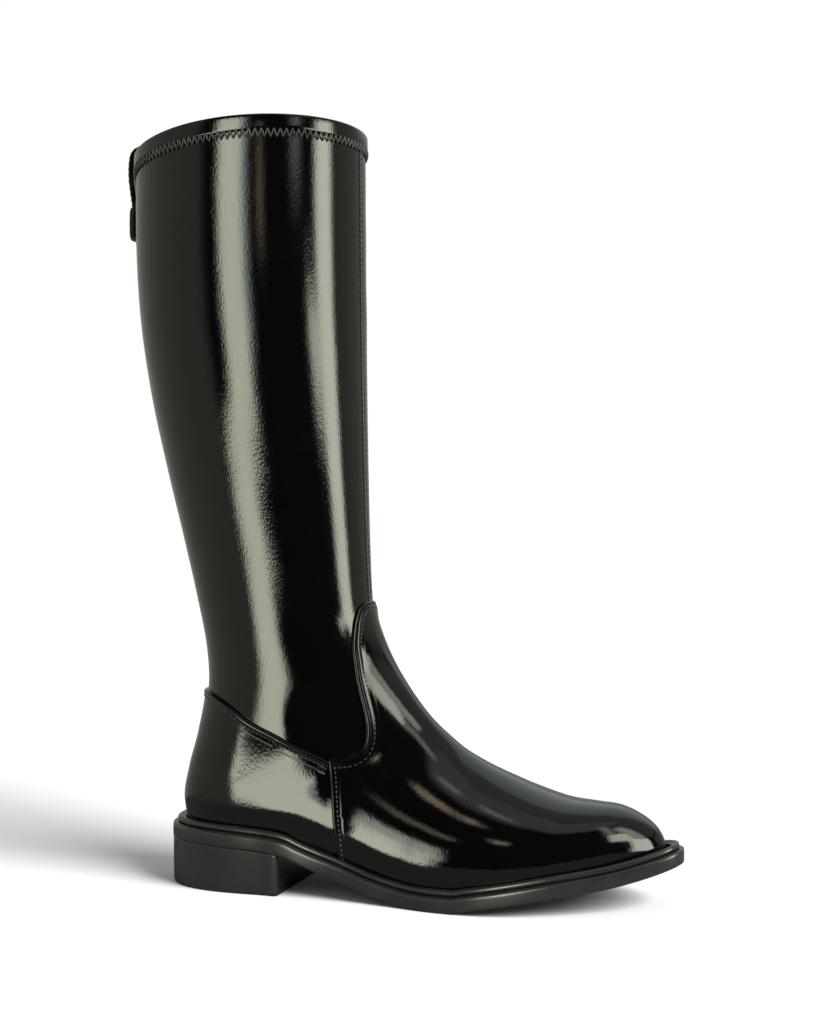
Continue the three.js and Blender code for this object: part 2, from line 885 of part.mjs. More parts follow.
// A named mesh from a solid, without the slivers that cuts leave
function meshOf(name, solid, colour, roughness, metalness = 0) {
  const made = solid.simplify(tolerance).getMesh();
  const geometry = new THREE.BufferGeometry();
  geometry.setAttribute(
    "position",
    new THREE.BufferAttribute(new Float32Array(made.vertProperties), 3),
  );
  geometry.setIndex(new THREE.BufferAttribute(new Uint32Array(made.triVerts), 1));
  geometry.computeVertexNormals();
  const material = new THREE.MeshStandardMaterial({
    color: colour,
    roughness,
    metalness,
  });
  const mesh = new THREE.Mesh(geometry, material);
  mesh.name = name;
  return mesh;
}

const patent = [0x0b0b0c, 0.12];
const rubber = [0x141414, 0.45];
const metal = [0xb9b6ae, 0.3, 1];

const boot = new THREE.Group();
boot.add(
  meshOf("upper", makeUpper(), ...patent),
  meshOf("vamp", makeVamp(), ...patent),
  meshOf("counter", makeCounter(), ...patent),
  meshOf("collar_band", makeCollarBand(), ...patent),
  meshOf("zip", makeZip(), 0x101010, 0.5),
  meshOf("pull_strap", makeStrap(), ...patent),
  meshOf("stud", makeStud(), ...metal),
  meshOf("welt", makeWelt(), ...rubber),
  meshOf("outsole", makeOutsole(), ...rubber),
  meshOf("heel", makeHeel(), ...rubber),
  meshOf("insole", makeInsole(), 0xcbb79a, 0.8),
);

// Slider and pull, built flat and set on the leg in one frame
const sliderSet = new THREE.Group();
sliderFrame().decompose(sliderSet.position, sliderSet.quaternion, sliderSet.scale);
const pull = meshOf("zip_pull", makePull(), ...metal);
pull.position.z = pinHeight;
sliderSet.add(meshOf("zip_slider", makeSlider(), ...metal), pull);
boot.add(sliderSet);

// The part's origin: on the floor, under the middle of its box
boot.updateMatrixWorld(true);
const box = new THREE.Box3().setFromObject(boot, true);
boot.position.set(
  -(box.min.x + box.max.x) / 2,
  -(box.min.y + box.max.y) / 2,
  -box.min.z,
);

export default boot;
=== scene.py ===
import math

import bmesh
import bpy
import numpy as np
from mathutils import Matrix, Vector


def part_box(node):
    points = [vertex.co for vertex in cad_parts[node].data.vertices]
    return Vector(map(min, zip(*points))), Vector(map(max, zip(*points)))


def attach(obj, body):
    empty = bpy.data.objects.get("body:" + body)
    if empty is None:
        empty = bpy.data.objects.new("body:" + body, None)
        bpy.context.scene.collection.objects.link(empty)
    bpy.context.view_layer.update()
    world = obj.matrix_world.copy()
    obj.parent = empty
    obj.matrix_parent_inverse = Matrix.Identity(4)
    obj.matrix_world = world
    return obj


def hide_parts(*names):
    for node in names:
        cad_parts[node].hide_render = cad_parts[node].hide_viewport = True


bl_info = {
    "name": "Patent Knee Boot",
    "version": (1, 0, 0),
    "blender": (4, 5, 0),
    "location": "3D View > Sidebar > Boot",
    "description": "Builds a patent leather knee boot around its packed frame",
    "category": "Add Mesh",
}

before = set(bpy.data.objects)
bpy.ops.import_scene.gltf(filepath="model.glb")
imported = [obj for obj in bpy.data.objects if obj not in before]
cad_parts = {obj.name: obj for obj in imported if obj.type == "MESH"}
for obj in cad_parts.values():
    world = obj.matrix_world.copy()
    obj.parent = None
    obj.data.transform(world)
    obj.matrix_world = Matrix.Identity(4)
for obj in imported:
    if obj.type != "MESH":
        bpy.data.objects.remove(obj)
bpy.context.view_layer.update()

# Where the form's zero lies in the frame, in millimetres
ORIGIN = np.array([-124.795, -2.1216, 0.0])

# Driving sizes of the last and the leg, as in the solids
SOLE_LENGTH = 278.0
BALL_WIDTH = 86.0
COLLAR_WIDTH = 114.0
BOOT_HEIGHT = 402.5
INSTEP_RISE = 142.0
HEEL_HEIGHT = 24.5
HEEL_LENGTH = 73.0
TOE_SPRING = 22.5
COLLAR_DROP = 12.2
COLLAR_BEND = 0.72
WALL = 1.8
OVERLAY = 1.6
SOLE_THICKNESS = 7.6
SIDE_MARGIN = 6.4
END_MARGIN = 9.0
ZIP_SLOT = 9.0

# How far the zip and the leg run on beneath the panels
ZIP_TAIL = 10.5
PANEL_OVERLAP = 7.0

# Zigzag: middle below the collar's edge, then the two ends' depth from the hem's foot and height
ZIGZAG_LEVEL = 11.0
ZIGZAG_DEPTH = (-1.1, 3.6)
ZIGZAG_LIFT = (1.35, 0.3)

# Pull strap: how far back it stands, its half width and thickness; the tab's half length
STRAP_BACK = -26.3
STRAP_HALF = 6.0
STRAP_THICK = 3.0
TAB_HALF = 9.6

# Camera: turn from square to the outer side, place in the form's millimetres, lens, closeness
# and the shift that keeps the boot in the middle
CAMERA_TURN = math.radians(15.5)
CAMERA_PLACE = (366.991, -767.645, 192.4)
CAMERA_LENS = 38.109
CAMERA_ZOOM = 1.4
CAMERA_SHIFT = (-28.5 * CAMERA_ZOOM / 1024, 9 * CAMERA_ZOOM / 1024)

# Light: far panels, the world's share in plain light, the soft key, and the floor's paint
PANEL_DISTANCE = 8.0
AMBIENT = 0.42
KEY_STRENGTH = 5.4
KEY_SPREAD = math.radians(34)
KEY_TILT = math.radians(54)
KEY_TURN = math.radians(54)
FLOOR_SIZE = 6.0
FLOOR_PAINT = (0.8, 0.8, 0.8)
FLOOR_IN_GLOSS = (0.165, 0.17, 0.15)
FLOOR_SEEN = (0.34, 0.26)

# Patent films: strength of grain, peel and slow sway, scale of the grain, roughness
PATENTS = {
    "Stretch Patent": (5.6, 4.0, 18.0, 1000.0, 0.06),
    "Smooth Patent": (3.4, 3.4, 12.0, 820.0, 0.055),
    "Rolled Patent Edge": (2.0, 6.0, 10.0, 900.0, 0.17),
}

# The panels' groups: the pieces they shine on, the panel's centre and how much further it lies
LIGHT_GROUPS = (
    ("leg",
     ("leg", "hem", "front_lip_inner", "front_lip_outer", "snap_stud", "zip_facing_front",
      "zip_facing_back", "zip_tape", "zip_teeth", "zip_slider", "zip_pull", "sole", "welt_bead",
      "heel_block", "zigzag", "front_stitches", "zip_stitches", "strap_stitches",
      "panel_stitches", "front_panel_stitches"),
     (-0.08, 0, 0.25), 0.0),
    ("counter", ("counter_panel", "counter_fold"), (-0.06, 0, 0.06), 0.5),
    ("front", ("vamp_panel", "vamp_fold", "piping", "side_fold_outer", "side_fold_inner"),
     (0.05, 0, 0.06), 1.0),
)

# Height of the sole's underside: x share, then shares of the heel's height and the toe spring
UNDERSIDE_ROWS = np.array([
    [0, 1, 0], [0.13, 0.97, 0], [0.25, 0.88, 0], [0.275, 0.82, 0], [0.3, 0.7, 0],
    [0.33, 0.575, 0], [0.365, 0.455, 0], [0.4, 0.325, 0], [0.44, 0.185, 0],
    [0.48, 0.08, 0], [0.515, 0.022, 0], [0.545, 0, 0], [0.6, 0, 0], [0.63, 0, 0.07],
    [0.68, 0, 0.18], [0.78, 0, 0.4], [0.87, 0, 0.58], [0.94, 0, 0.78], [1, 0, 1],
])

# Level sections of the leg: front x, back x, height, outer and inner half width, widest place,
# roundness behind it
LEG_ROWS = [
    [0.381, -0.067, 1.04, 0.5, 0.5, 0.5, 2],
    [0.3815, -0.069, 0.917, 0.502, 0.502, 0.5, 2],
    [0.3825, -0.069, 0.752, 0.5, 0.5, 0.5, 2],
    [0.384, -0.06, 0.587, 0.485, 0.485, 0.5, 2],
    [0.3865, -0.038, 0.421, 0.452, 0.452, 0.5, 2],
    [0.39, -0.005, 0.256, 0.408, 0.408, 0.49, 2.05],
    [0.394, 0.027, 0.112, 0.368, 0.368, 0.49, 2.1],
]

# Slanting sections of the foot: front x and height, back x and height, outer and inner half
# width, widest place, roundness before it and behind it
FOOT_ROWS = [
    [0.399, 0.998, 0.055, 0.847, 0.451, 0.451, 0.49, 2, 2.1],
    [0.405, 0.904, 0.073, 0.664, 0.426, 0.426, 0.49, 2, 2.1],
    [0.422, 0.823, 0.075, 0.509, 0.398, 0.398, 0.49, 2, 2.1],
    [0.443, 0.752, 0.059, 0.34, 0.378, 0.378, 0.49, 2, 2.2],
    [0.468, 0.686, 0.04, 0.198, 0.364, 0.364, 0.49, 2, 2.4],
    [0.496, 0.621, 0.033, 0.071, 0.358, 0.358, 0.5, 2, 2.6],
    [0.524, 0.565, 0.065, -0.054, 0.362, 0.362, 0.53, 2, 2.7],
    [0.554, 0.514, 0.18, -0.073, 0.378, 0.38, 0.57, 2, 2.3],
    [0.586, 0.464, 0.324, -0.052, 0.404, 0.414, 0.62, 2, 2.5],
    [0.627, 0.408, 0.45, -0.039, 0.442, 0.463, 0.66, 2.05, 2.8],
    [0.674, 0.35, 0.565, -0.046, 0.472, 0.488, 0.69, 2.1, 3],
    [0.729, 0.289, 0.662, -0.062, 0.465, 0.486, 0.7, 2.15, 2.6],
    [0.783, 0.239, 0.737, -0.06, 0.423, 0.456, 0.7, 2.2, 2.3],
    [0.834, 0.212, 0.799, -0.052, 0.363, 0.407, 0.68, 2.2, 2.2],
    [0.879, 0.188, 0.849, -0.047, 0.293, 0.347, 0.66, 2.2, 2.2],
    [0.917, 0.143, 0.888, -0.048, 0.219, 0.274, 0.64, 2.15, 2.2],
    [0.945, 0.089, 0.917, -0.047, 0.147, 0.193, 0.61, 2.1, 2.2],
    [0.96, 0.028, 0.935, -0.048, 0.093, 0.123, 0.6, 2, 2.2],
    [0.962, -0.024, 0.942, -0.052, 0.058, 0.081, 0.6, 2, 2.2],
]

# Seam lines in side view: x share, height above the seat as a share of the instep rise
COUNTER_TOP_ROWS = [
    [-0.05, 0.51], [0.06, 0.508], [0.1, 0.505], [0.138, 0.483], [0.169, 0.453],
    [0.198, 0.42], [0.227, 0.397], [0.255, 0.378], [0.283, 0.366], [0.31, 0.366],
    [0.336, 0.362], [0.353, 0.356],
]
SIDE_SEAM_ROWS = [
    [0.353, 0.356], [0.358, 0.301], [0.362, 0.255], [0.365, 0.207], [0.368, 0.153],
    [0.371, 0.119], [0.375, 0.06], [0.377, -0.1],
]
VAMP_TOP_ROWS = [
    [0.353, 0.356], [0.375, 0.368], [0.394, 0.385], [0.414, 0.417], [0.423, 0.455],
    [0.4255, 0.502], [0.4225, 0.549], [0.4155, 0.595], [0.408, 0.641], [0.4015, 0.688],
    [0.3965, 0.74], [0.392, 0.79], [0.391, 0.84], [0.391, 0.884], [0.394, 0.925],
    [0.402, 0.952], [0.42, 0.964], [0.5, 0.966],
]

# The zip's middle line in side view: shares of the sole's length and of the boot's height
ZIP_ROWS = [
    [0.074, 1.04], [0.084, 0.98], [0.122, 0.85], [0.166, 0.69], [0.209, 0.555],
    [0.25, 0.425], [0.3, 0.3], [0.345, 0.19],
]

# Soft creases in the leg: side, x and height of the middle, lean in degrees from upright,
# half length, half width and depth, in millimetres
CREASE_ROWS = [
    [1, 74, 372, 58, 26, 5.5, 0.75],
    [1, 66, 356, 64, 24, 5.0, 0.6],
    [1, 80, 340, 50, 22, 6.0, 0.5],
    [1, 70, 318, 66, 20, 6.5, 0.4],
    [1, 88, 300, 30, 26, 7.0, 0.45],
    [1, 30, 250, 20, 34, 9.0, 0.35],
    [-1, 6, 340, 12, 60, 14.0, 0.16],
    [-1, 30, 250, 14, 60, 13.0, 0.1],
    [-1, 44, 128, 80, 16, 3.2, 0.035],
    [-1, 48, 118, 84, 14, 2.6, 0.045],
    [-1, 52, 108, 78, 12, 2.4, 0.04],
    [1, 60, 190, 62, 30, 8.0, 0.35],
    [1, 66, 150, 55, 24, 7.0, 0.3],
]

# Dim surroundings seen in the gloss: direction from the camera's side in degrees, half width,
# soft edge, lowest and highest elevation and their soft edge, and the colour
ROOM_ROWS = [
    [-112, 66, 10, -60, 40, 16, (0.4, 0.44, 0.36)],
    [-150, 50, 40, -60, 30, 20, (0.36, 0.4, 0.36)],
    [134, 46, 6, -60, 24, 14, (0.34, 0.36, 0.29)],
    [110, 78, 16, 26, 88, 10, (0.36, 0.39, 0.35)],
    [160, 34, 18, 14, 66, 12, (0.75, 0.82, 0.82)],
    [30, 60, 30, 62, 86, 8, (0.6, 0.64, 0.6)],
]

# Bright panels, each for the pieces it shines on: direction, half width, soft edge, lowest and
# highest elevation and their soft edge, lean of the direction and the elevations between which
# it turns, and the colour
PANEL_ROWS = {
    "leg": [
        [-19, 10.5, 4, -30, 22, 4, -15, -4, -14, (8.8, 9.2, 7.1)],
        [-10, 5.5, 5, -1, 22, 3, -13, -4, -14, (3.2, 3.9, 3.7)],
        [74, 10, 4, -3, 20, 4, 0, 0, 1, (9.2, 9.9, 7.9)],
        [59, 7, 4, 2.5, 8, 2.5, 0, 0, 1, (7.4, 7.9, 6.3)],
        [7.6, 1.2, 1.6, 9, 16, 3, 0, 0, 1, (3.4, 2.7, 1.9)],
        [42, 5, 4, 14, 22, 4, 0, 0, 1, (1.7, 1.8, 1.5)],
    ],
    "counter": [
        [-42.5, 12, 3, -11, 3, 2, 0, 0, 1, (8.9, 9.3, 7.3)],
        [-36, 4, 4, -8, 6, 3, 0, 0, 1, (4.2, 4.8, 4.2)],
    ],
    "front": [
        [-46, 4.6, 2.5, -15, 5, 3, 0, 0, 1, (9.2, 9.8, 7.9)],
        [-43, 4.6, 2, -1, 11, 4, 0, 0, 1, (5.2, 5.6, 4.6)],
        [42.5, 9.5, 3, 18, 37, 5, 0, 0, 1, (6.4, 6.9, 5.5)],
        [37, 6, 5, 36, 66, 8, 0, 0, 1, (1.7, 2.0, 1.6)],
        [58, 12, 5, -12, 23, 6, 0, 0, 1, (8.2, 9.0, 7.4)],
        [58, 9, 6, 22, 53, 8, 0, 0, 1, (3.0, 3.4, 2.8)],
        [-26, 4.5, 3, 45, 51, 3, 0, 0, 1, (2.9, 2.3, 1.6)],
        [-16, 3, 2, 29, 34, 3, 0, 0, 1, (3.4, 2.8, 2.0)],
        [-36, 2.4, 2, 21, 25, 2, 0, 0, 1, (1.6, 1.4, 1.0)],
        [-8, 6, 3, 66, 72, 3, 0, 0, 1, (1.5, 1.5, 1.2)],
    ],
}


# Small sums
def ease(value, low, high):
    u = np.clip((value - low) / (high - low), 0, 1)
    return u * u * (3 - 2 * u)


def unit(v):
    return v / np.maximum(np.linalg.norm(v, axis=-1, keepdims=True), 1e-9)


def walked(points):
    return np.concatenate([[0], np.cumsum(np.linalg.norm(np.diff(points, axis=0), axis=-1))])


# Where a test turns true between two values, by halving
def halved(low, high, beyond):
    low, high = np.array(low, float), np.array(high, float)
    for _ in range(40):
        middle = (low + high) / 2
        far = beyond(middle)
        high = np.where(far, middle, high)
        low = np.where(far, low, middle)
    return (low + high) / 2


# The underside's table as a smooth line that never overshoots
def smooth_table(rows, column):
    x = rows[:, 0]
    y = rows[:, column]
    width = np.diff(x)
    slope = np.diff(y) / width
    tangent = np.zeros(len(x))
    tangent[0], tangent[-1] = slope[0], slope[-1]
    for i in range(1, len(x) - 1):
        before, after = slope[i - 1], slope[i]
        if before * after > 0:
            tangent[i] = 2 * before * after / (before + after)

    def value(at):
        i = np.clip(np.searchsorted(x, at, side="right") - 1, 0, len(x) - 2)
        w = width[i]
        u = (at - x[i]) / w
        k = np.clip(u, 0, 1)
        k2 = k * k
        k3 = k2 * k
        middle = (2 * k3 - 3 * k2 + 1) * y[i] + (k3 - 2 * k2 + k) * w * tangent[i]
        middle = middle + (3 * k2 - 2 * k3) * y[i + 1] + (k3 - k2) * w * tangent[i + 1]
        low = y[0] + tangent[0] * (at - x[0])
        high = y[-1] + tangent[-1] * (at - x[-1])
        return np.where(u < 0, low, np.where(u > 1, high, middle))

    return value


heel_share = smooth_table(UNDERSIDE_ROWS, 1)
spring_share = smooth_table(UNDERSIDE_ROWS, 2)


def underside(x):
    along = np.asarray(x, float) / SOLE_LENGTH
    return HEEL_HEIGHT * heel_share(along) + TOE_SPRING * spring_share(along)


def seat(x):
    return underside(x) + SOLE_THICKNESS


def on_foot(along, up):
    x = np.asarray(along, float) * SOLE_LENGTH
    return x, seat(x) + np.asarray(up, float) * INSTEP_RISE


def all_sections():
    foot_z = float(on_foot(LEG_ROWS[-1][0], 1)[1])
    rows = []
    for front, back, up, outer, inner, widest, behind in LEG_ROWS:
        z = foot_z + up * (BOOT_HEIGHT - foot_z)
        ends = [front * SOLE_LENGTH, z, back * SOLE_LENGTH, z]
        rows.append([*ends, outer * COLLAR_WIDTH, inner * COLLAR_WIDTH, widest, 2, behind])
    for front, front_up, back, back_up, outer, inner, *shape in FOOT_ROWS:
        ends = [*on_foot(front, front_up), *on_foot(back, back_up)]
        rows.append([*ends, outer * BALL_WIDTH, inner * BALL_WIDTH, *shape])
    return np.array(rows, float)


SECTIONS = all_sections()
LAST = len(SECTIONS) - 1


def section_at(t):
    i = np.clip(np.floor(t).astype(int), 0, LAST - 1)
    u = (t - i)[..., None]
    p1 = SECTIONS[i]
    p2 = SECTIONS[i + 1]
    p0 = np.where((i > 0)[..., None], SECTIONS[np.maximum(i - 1, 0)], 2 * p1 - p2)
    p3 = np.where((i < LAST - 1)[..., None], SECTIONS[np.minimum(i + 2, LAST)], 2 * p2 - p1)
    bend = (2 * p0 - 5 * p1 + 4 * p2 - p3) * u * u + (3 * p1 - p0 - 3 * p2 + p3) * u * u * u
    return 0.5 * (2 * p1 + (p2 - p0) * u + bend)


# The leather's outer form: station t from the collar down, angle 0 on the front ridge, a
# quarter turn at the inner side and half a turn at the back
def form(t, angle):
    t, angle = np.broadcast_arrays(np.asarray(t, float), np.asarray(angle, float))
    parts = np.moveaxis(section_at(t), -1, 0)
    fx, fz, bx, bz, outer, inner, widest, before, behind = parts
    c = np.cos(angle)
    s = np.sin(angle)
    power = 2 / np.where(c > 0, before, behind)
    along = np.sign(c) * np.abs(c) ** power
    across = np.sign(s) * np.abs(s) ** power
    k = np.where(c > 0, widest * (1 - along), widest - (1 - widest) * along)
    y = across * np.where(s > 0, inner, outer)
    return np.stack([fx + (bx - fx) * k, y, fz + (bz - fz) * k], -1)


def surface_normals(place, t, a, step):
    down = place(np.minimum(t + step, LAST), a) - place(np.maximum(t - step, 0), a)
    return unit(np.cross(down, place(t, a + step) - place(t, a - step)))


def form_normal(t, angle):
    t, angle = np.broadcast_arrays(np.asarray(t, float), np.asarray(angle, float))
    return surface_normals(form, t, angle, 0.02)


def lifted(t, angle, height):
    return form(t, angle) + form_normal(t, angle) * np.asarray(height)[..., None]


def rim(x):
    front = SECTIONS[0][0]
    behind = (front - x) / (front - SECTIONS[0][2])
    return BOOT_HEIGHT - COLLAR_DROP * behind * (1 - COLLAR_BEND * (1 - behind))


# The station at a depth below the collar's edge
def rim_station(angle, depth):
    angle, depth = np.broadcast_arrays(np.asarray(angle, float), np.asarray(depth, float))

    def below(t):
        p = form(t, angle)
        return p[..., 2] < rim(p[..., 0]) - depth

    return halved(np.zeros(angle.shape), np.full(angle.shape, 4.0), below)


# Seam lines as smooth curves in side view
def curve_through(places, per=8):
    p = np.array(places, float)
    u = np.arange(per)[:, None] / per
    out = []
    for i in range(len(p) - 1):
        p1, p2 = p[i], p[i + 1]
        v0 = (p2 - p[max(i - 1, 0)]) / 2
        v1 = (p[min(i + 2, len(p) - 1)] - p1) / 2
        cube = (2 * p1 - 2 * p2 + v0 + v1) * u ** 3
        out.append(cube + (3 * p2 - 3 * p1 - 2 * v0 - v1) * u ** 2 + v0 * u + p1)
    return np.vstack([*out, p[-1:]])


def foot_curve(rows, per=8):
    return curve_through([on_foot(along, up) for along, up in rows], per)


ZIP_LINE = curve_through([[a * SOLE_LENGTH, u * BOOT_HEIGHT] for a, u in ZIP_ROWS])


# Distance from a line in side view, positive to the left of its direction. The line runs on
# straight past both ends
def left_of(line, x, z):
    a = line[:-1]
    d = line[1:] - a
    px = np.asarray(x, float)[..., None] - a[:, 0]
    pz = np.asarray(z, float)[..., None] - a[:, 1]
    low = np.zeros(len(d))
    high = np.ones(len(d))
    low[0], high[-1] = -1e3, 1e3
    u = np.clip((px * d[:, 0] + pz * d[:, 1]) / (d ** 2).sum(1), low, high)
    away = (px - u * d[:, 0]) ** 2 + (pz - u * d[:, 1]) ** 2
    i = np.argmin(away, axis=-1)
    take = lambda v: np.take_along_axis(v, i[..., None], -1)[..., 0]
    side = np.sign(d[i, 0] * take(pz) - d[i, 1] * take(px))
    return side * np.sqrt(take(away))


# An edge as a function of a place on the form: negative inside its panel
def edge_of(line, sign=1):
    def edge(t, angle):
        p = form(t, angle)
        return sign * left_of(line, p[..., 0], p[..., 2])

    return edge


vamp_edge = edge_of(foot_curve(VAMP_TOP_ROWS))
seam_edge = edge_of(foot_curve(SIDE_SEAM_ROWS), -1)
counter_edge = edge_of(foot_curve(COUNTER_TOP_ROWS))
zip_across = edge_of(ZIP_LINE)


def zip_edge(t, angle):
    inner = np.sin(angle) > 0
    return np.where(inner, ZIP_SLOT / 2 - np.abs(zip_across(t, angle)), -50.0)


# Gradient of an edge and the form's metric at a place
def measure(edge, t, angle, step=0.008):
    slopes = lambda f: (
        (f(t + step, angle) - f(t - step, angle)) / (2 * step),
        (f(t, angle + step) - f(t, angle - step)) / (2 * step),
    )
    gt, ga = slopes(edge)
    jt, ja = slopes(form)
    e = (jt * jt).sum(-1)
    f = (jt * ja).sum(-1)
    g = (ja * ja).sum(-1)
    det = np.maximum(e * g - f * f, 1e-9)
    st = (g * gt - f * ga) / det
    sa = (e * ga - f * gt) / det
    steep = np.sqrt(np.maximum(gt * st + ga * sa, 1e-9))
    return edge(t, angle), st, sa, steep, jt, ja, (e, f, g, det)


# A seam on the form: places, frames and the step inward, from following an edge
class Seam:
    def __init__(self, t, a, inward):
        self.t = np.array(t)
        self.a = np.array(a)
        self.dt, self.da = np.array(inward, float).T
        self.p = form(self.t, self.a)
        self.n = form_normal(self.t, self.a)
        self.tangent = unit(np.gradient(self.p, axis=0))
        self.length = walked(self.p)

    def at(self, lengths):
        other = Seam.__new__(Seam)
        for name in ("t", "a", "dt", "da", "p", "n", "tangent", "length"):
            rows = getattr(self, name)
            if rows.ndim == 1:
                value = np.interp(lengths, self.length, rows)
            else:
                value = np.stack([np.interp(lengths, self.length, v) for v in rows.T], -1)
            setattr(other, name, value)
        return other

    def places(self, b, height):
        t, a = self.t + b * self.dt, self.a + b * self.da
        return lifted(t, a, np.broadcast_to(height, self.t.shape))


# Walks along an edge in small steps, pulled back onto it each time, until a test stops it
def follow(edge, t, a, heading, stop, step=0.8, most=1200):
    ts, angles, inward = [], [], []
    for _ in range(most):
        for _ in range(3):
            d, st, sa, steep, *_rest = measure(edge, np.float64(t), np.float64(a))
            t -= float(d * st / steep ** 2)
            a -= float(d * sa / steep ** 2)
        d, st, sa, steep, jt, ja, (e, f, g, det) = measure(edge, np.float64(t), np.float64(a))
        if stop(form(t, a)):
            break
        ts.append(t)
        angles.append(a)
        inward.append((float(-st / steep), float(-sa / steep)))
        inside = -(jt * st + ja * sa) / steep
        go = np.cross(unit(np.cross(jt, ja)), inside) * heading
        wt = float(jt @ go)
        wa = float(ja @ go)
        t += float((g * wt - f * wa) / det) * step
        a += float((e * wa - f * wt) / det) * step
        if not -0.2 < t < LAST + 0.2:
            break
    return ts, angles, inward


def both_sides(edge, angle, low, high, stop):
    rising = edge(np.float64(high), np.float64(angle)) > 0
    t = float(halved(low, high, lambda m: (edge(m, np.float64(angle)) > 0) == rising))
    one = follow(edge, t, angle, 1, stop)
    two = follow(edge, t, angle, -1, stop)
    return Seam(*(list(reversed(back))[:-1] + ahead for back, ahead in zip(two, one)))


# Where a place in side view lies on one side of the form
def find_place(x, z, t, a, h=0.004):
    for _ in range(30):
        p = form(t, a)
        jt = (form(t + h, a) - form(t - h, a)) / (2 * h)
        ja = (form(t, a + h) - form(t, a - h)) / (2 * h)
        rx, rz = x - p[0], z - p[2]
        det = jt[0] * ja[2] - ja[0] * jt[2]
        dt = (rx * ja[2] - rz * ja[0]) / det
        da = (jt[0] * rz - jt[2] * rx) / det
        size = max(abs(dt) / 0.8, abs(da) / 0.3, 1)
        t = min(max(t + dt / size, 0.02), LAST - 0.02)
        a = a + da / size
        if abs(rx) + abs(rz) < 1e-4:
            break
    return t, a


def seam_from_line(line, side, t, a, inside=-1):
    places = []
    a *= side
    for x, z in line:
        t, a = find_place(x, z, t, a)
        places.append((t, a))
    edge = edge_of(line)
    inward = []
    for t, a in places:
        d, st, sa, steep, *_rest = measure(edge, np.float64(t), np.float64(a))
        inward.append((inside * float(st / steep), inside * float(sa / steep)))
    return Seam(*zip(*places), inward)


# Making meshes
def new_object(name, points, faces, normals=None):
    mesh = bpy.data.meshes.new(name)
    placed = (np.asarray(points, float).reshape(-1, 3) + ORIGIN) / 1000
    mesh.from_pydata(placed.tolist(), [], [tuple(int(i) for i in f) for f in faces])
    mesh.update()
    obj = bpy.data.objects.new(name, mesh)
    bpy.context.scene.collection.objects.link(obj)
    mesh.polygons.foreach_set("use_smooth", np.ones(len(mesh.polygons), bool))
    if normals is not None:
        mesh.normals_split_custom_set_from_vertices(np.asarray(normals, float).tolist())
    return obj


def grid_faces(rows, columns, wrap=False):
    c = columns if wrap else columns - 1
    i, j = np.meshgrid(np.arange(rows - 1), np.arange(c), indexing="ij")
    k = (j + 1) % columns
    low, high = i * columns, (i + 1) * columns
    return np.stack([low + j, high + j, high + k, low + k], -1).reshape(-1, 4)


def capped_faces(rows, columns):
    ends = [list(range(columns)), [(rows - 1) * columns + k for k in range(columns)]]
    return grid_faces(rows, columns, True).tolist() + ends


# Turns faces outward. An open strip faces away from the form at its seam
def outward(obj, seam=None):
    bm = bmesh.new()
    bm.from_mesh(obj.data)
    bmesh.ops.recalc_face_normals(bm, faces=bm.faces)
    if seam:
        middle = (seam.p + ORIGIN) / 1000
        score = 0
        for f in list(bm.faces)[:: max(len(bm.faces) // 200, 1)]:
            centre = np.array(f.calc_center_median())
            k = int(np.argmin(((middle - centre) ** 2).sum(1)))
            score += float(np.dot(seam.n[k], f.normal))
        if score < 0:
            bmesh.ops.reverse_faces(bm, faces=bm.faces)
    bm.to_mesh(obj.data)
    bm.free()
    obj.data.update()
    return obj


# Rings of points, one after another, closed at both ends
def stacked(name, rings):
    rings = np.asarray(rings, float)
    return outward(new_object(name, rings, capped_faces(*rings.shape[:2])))


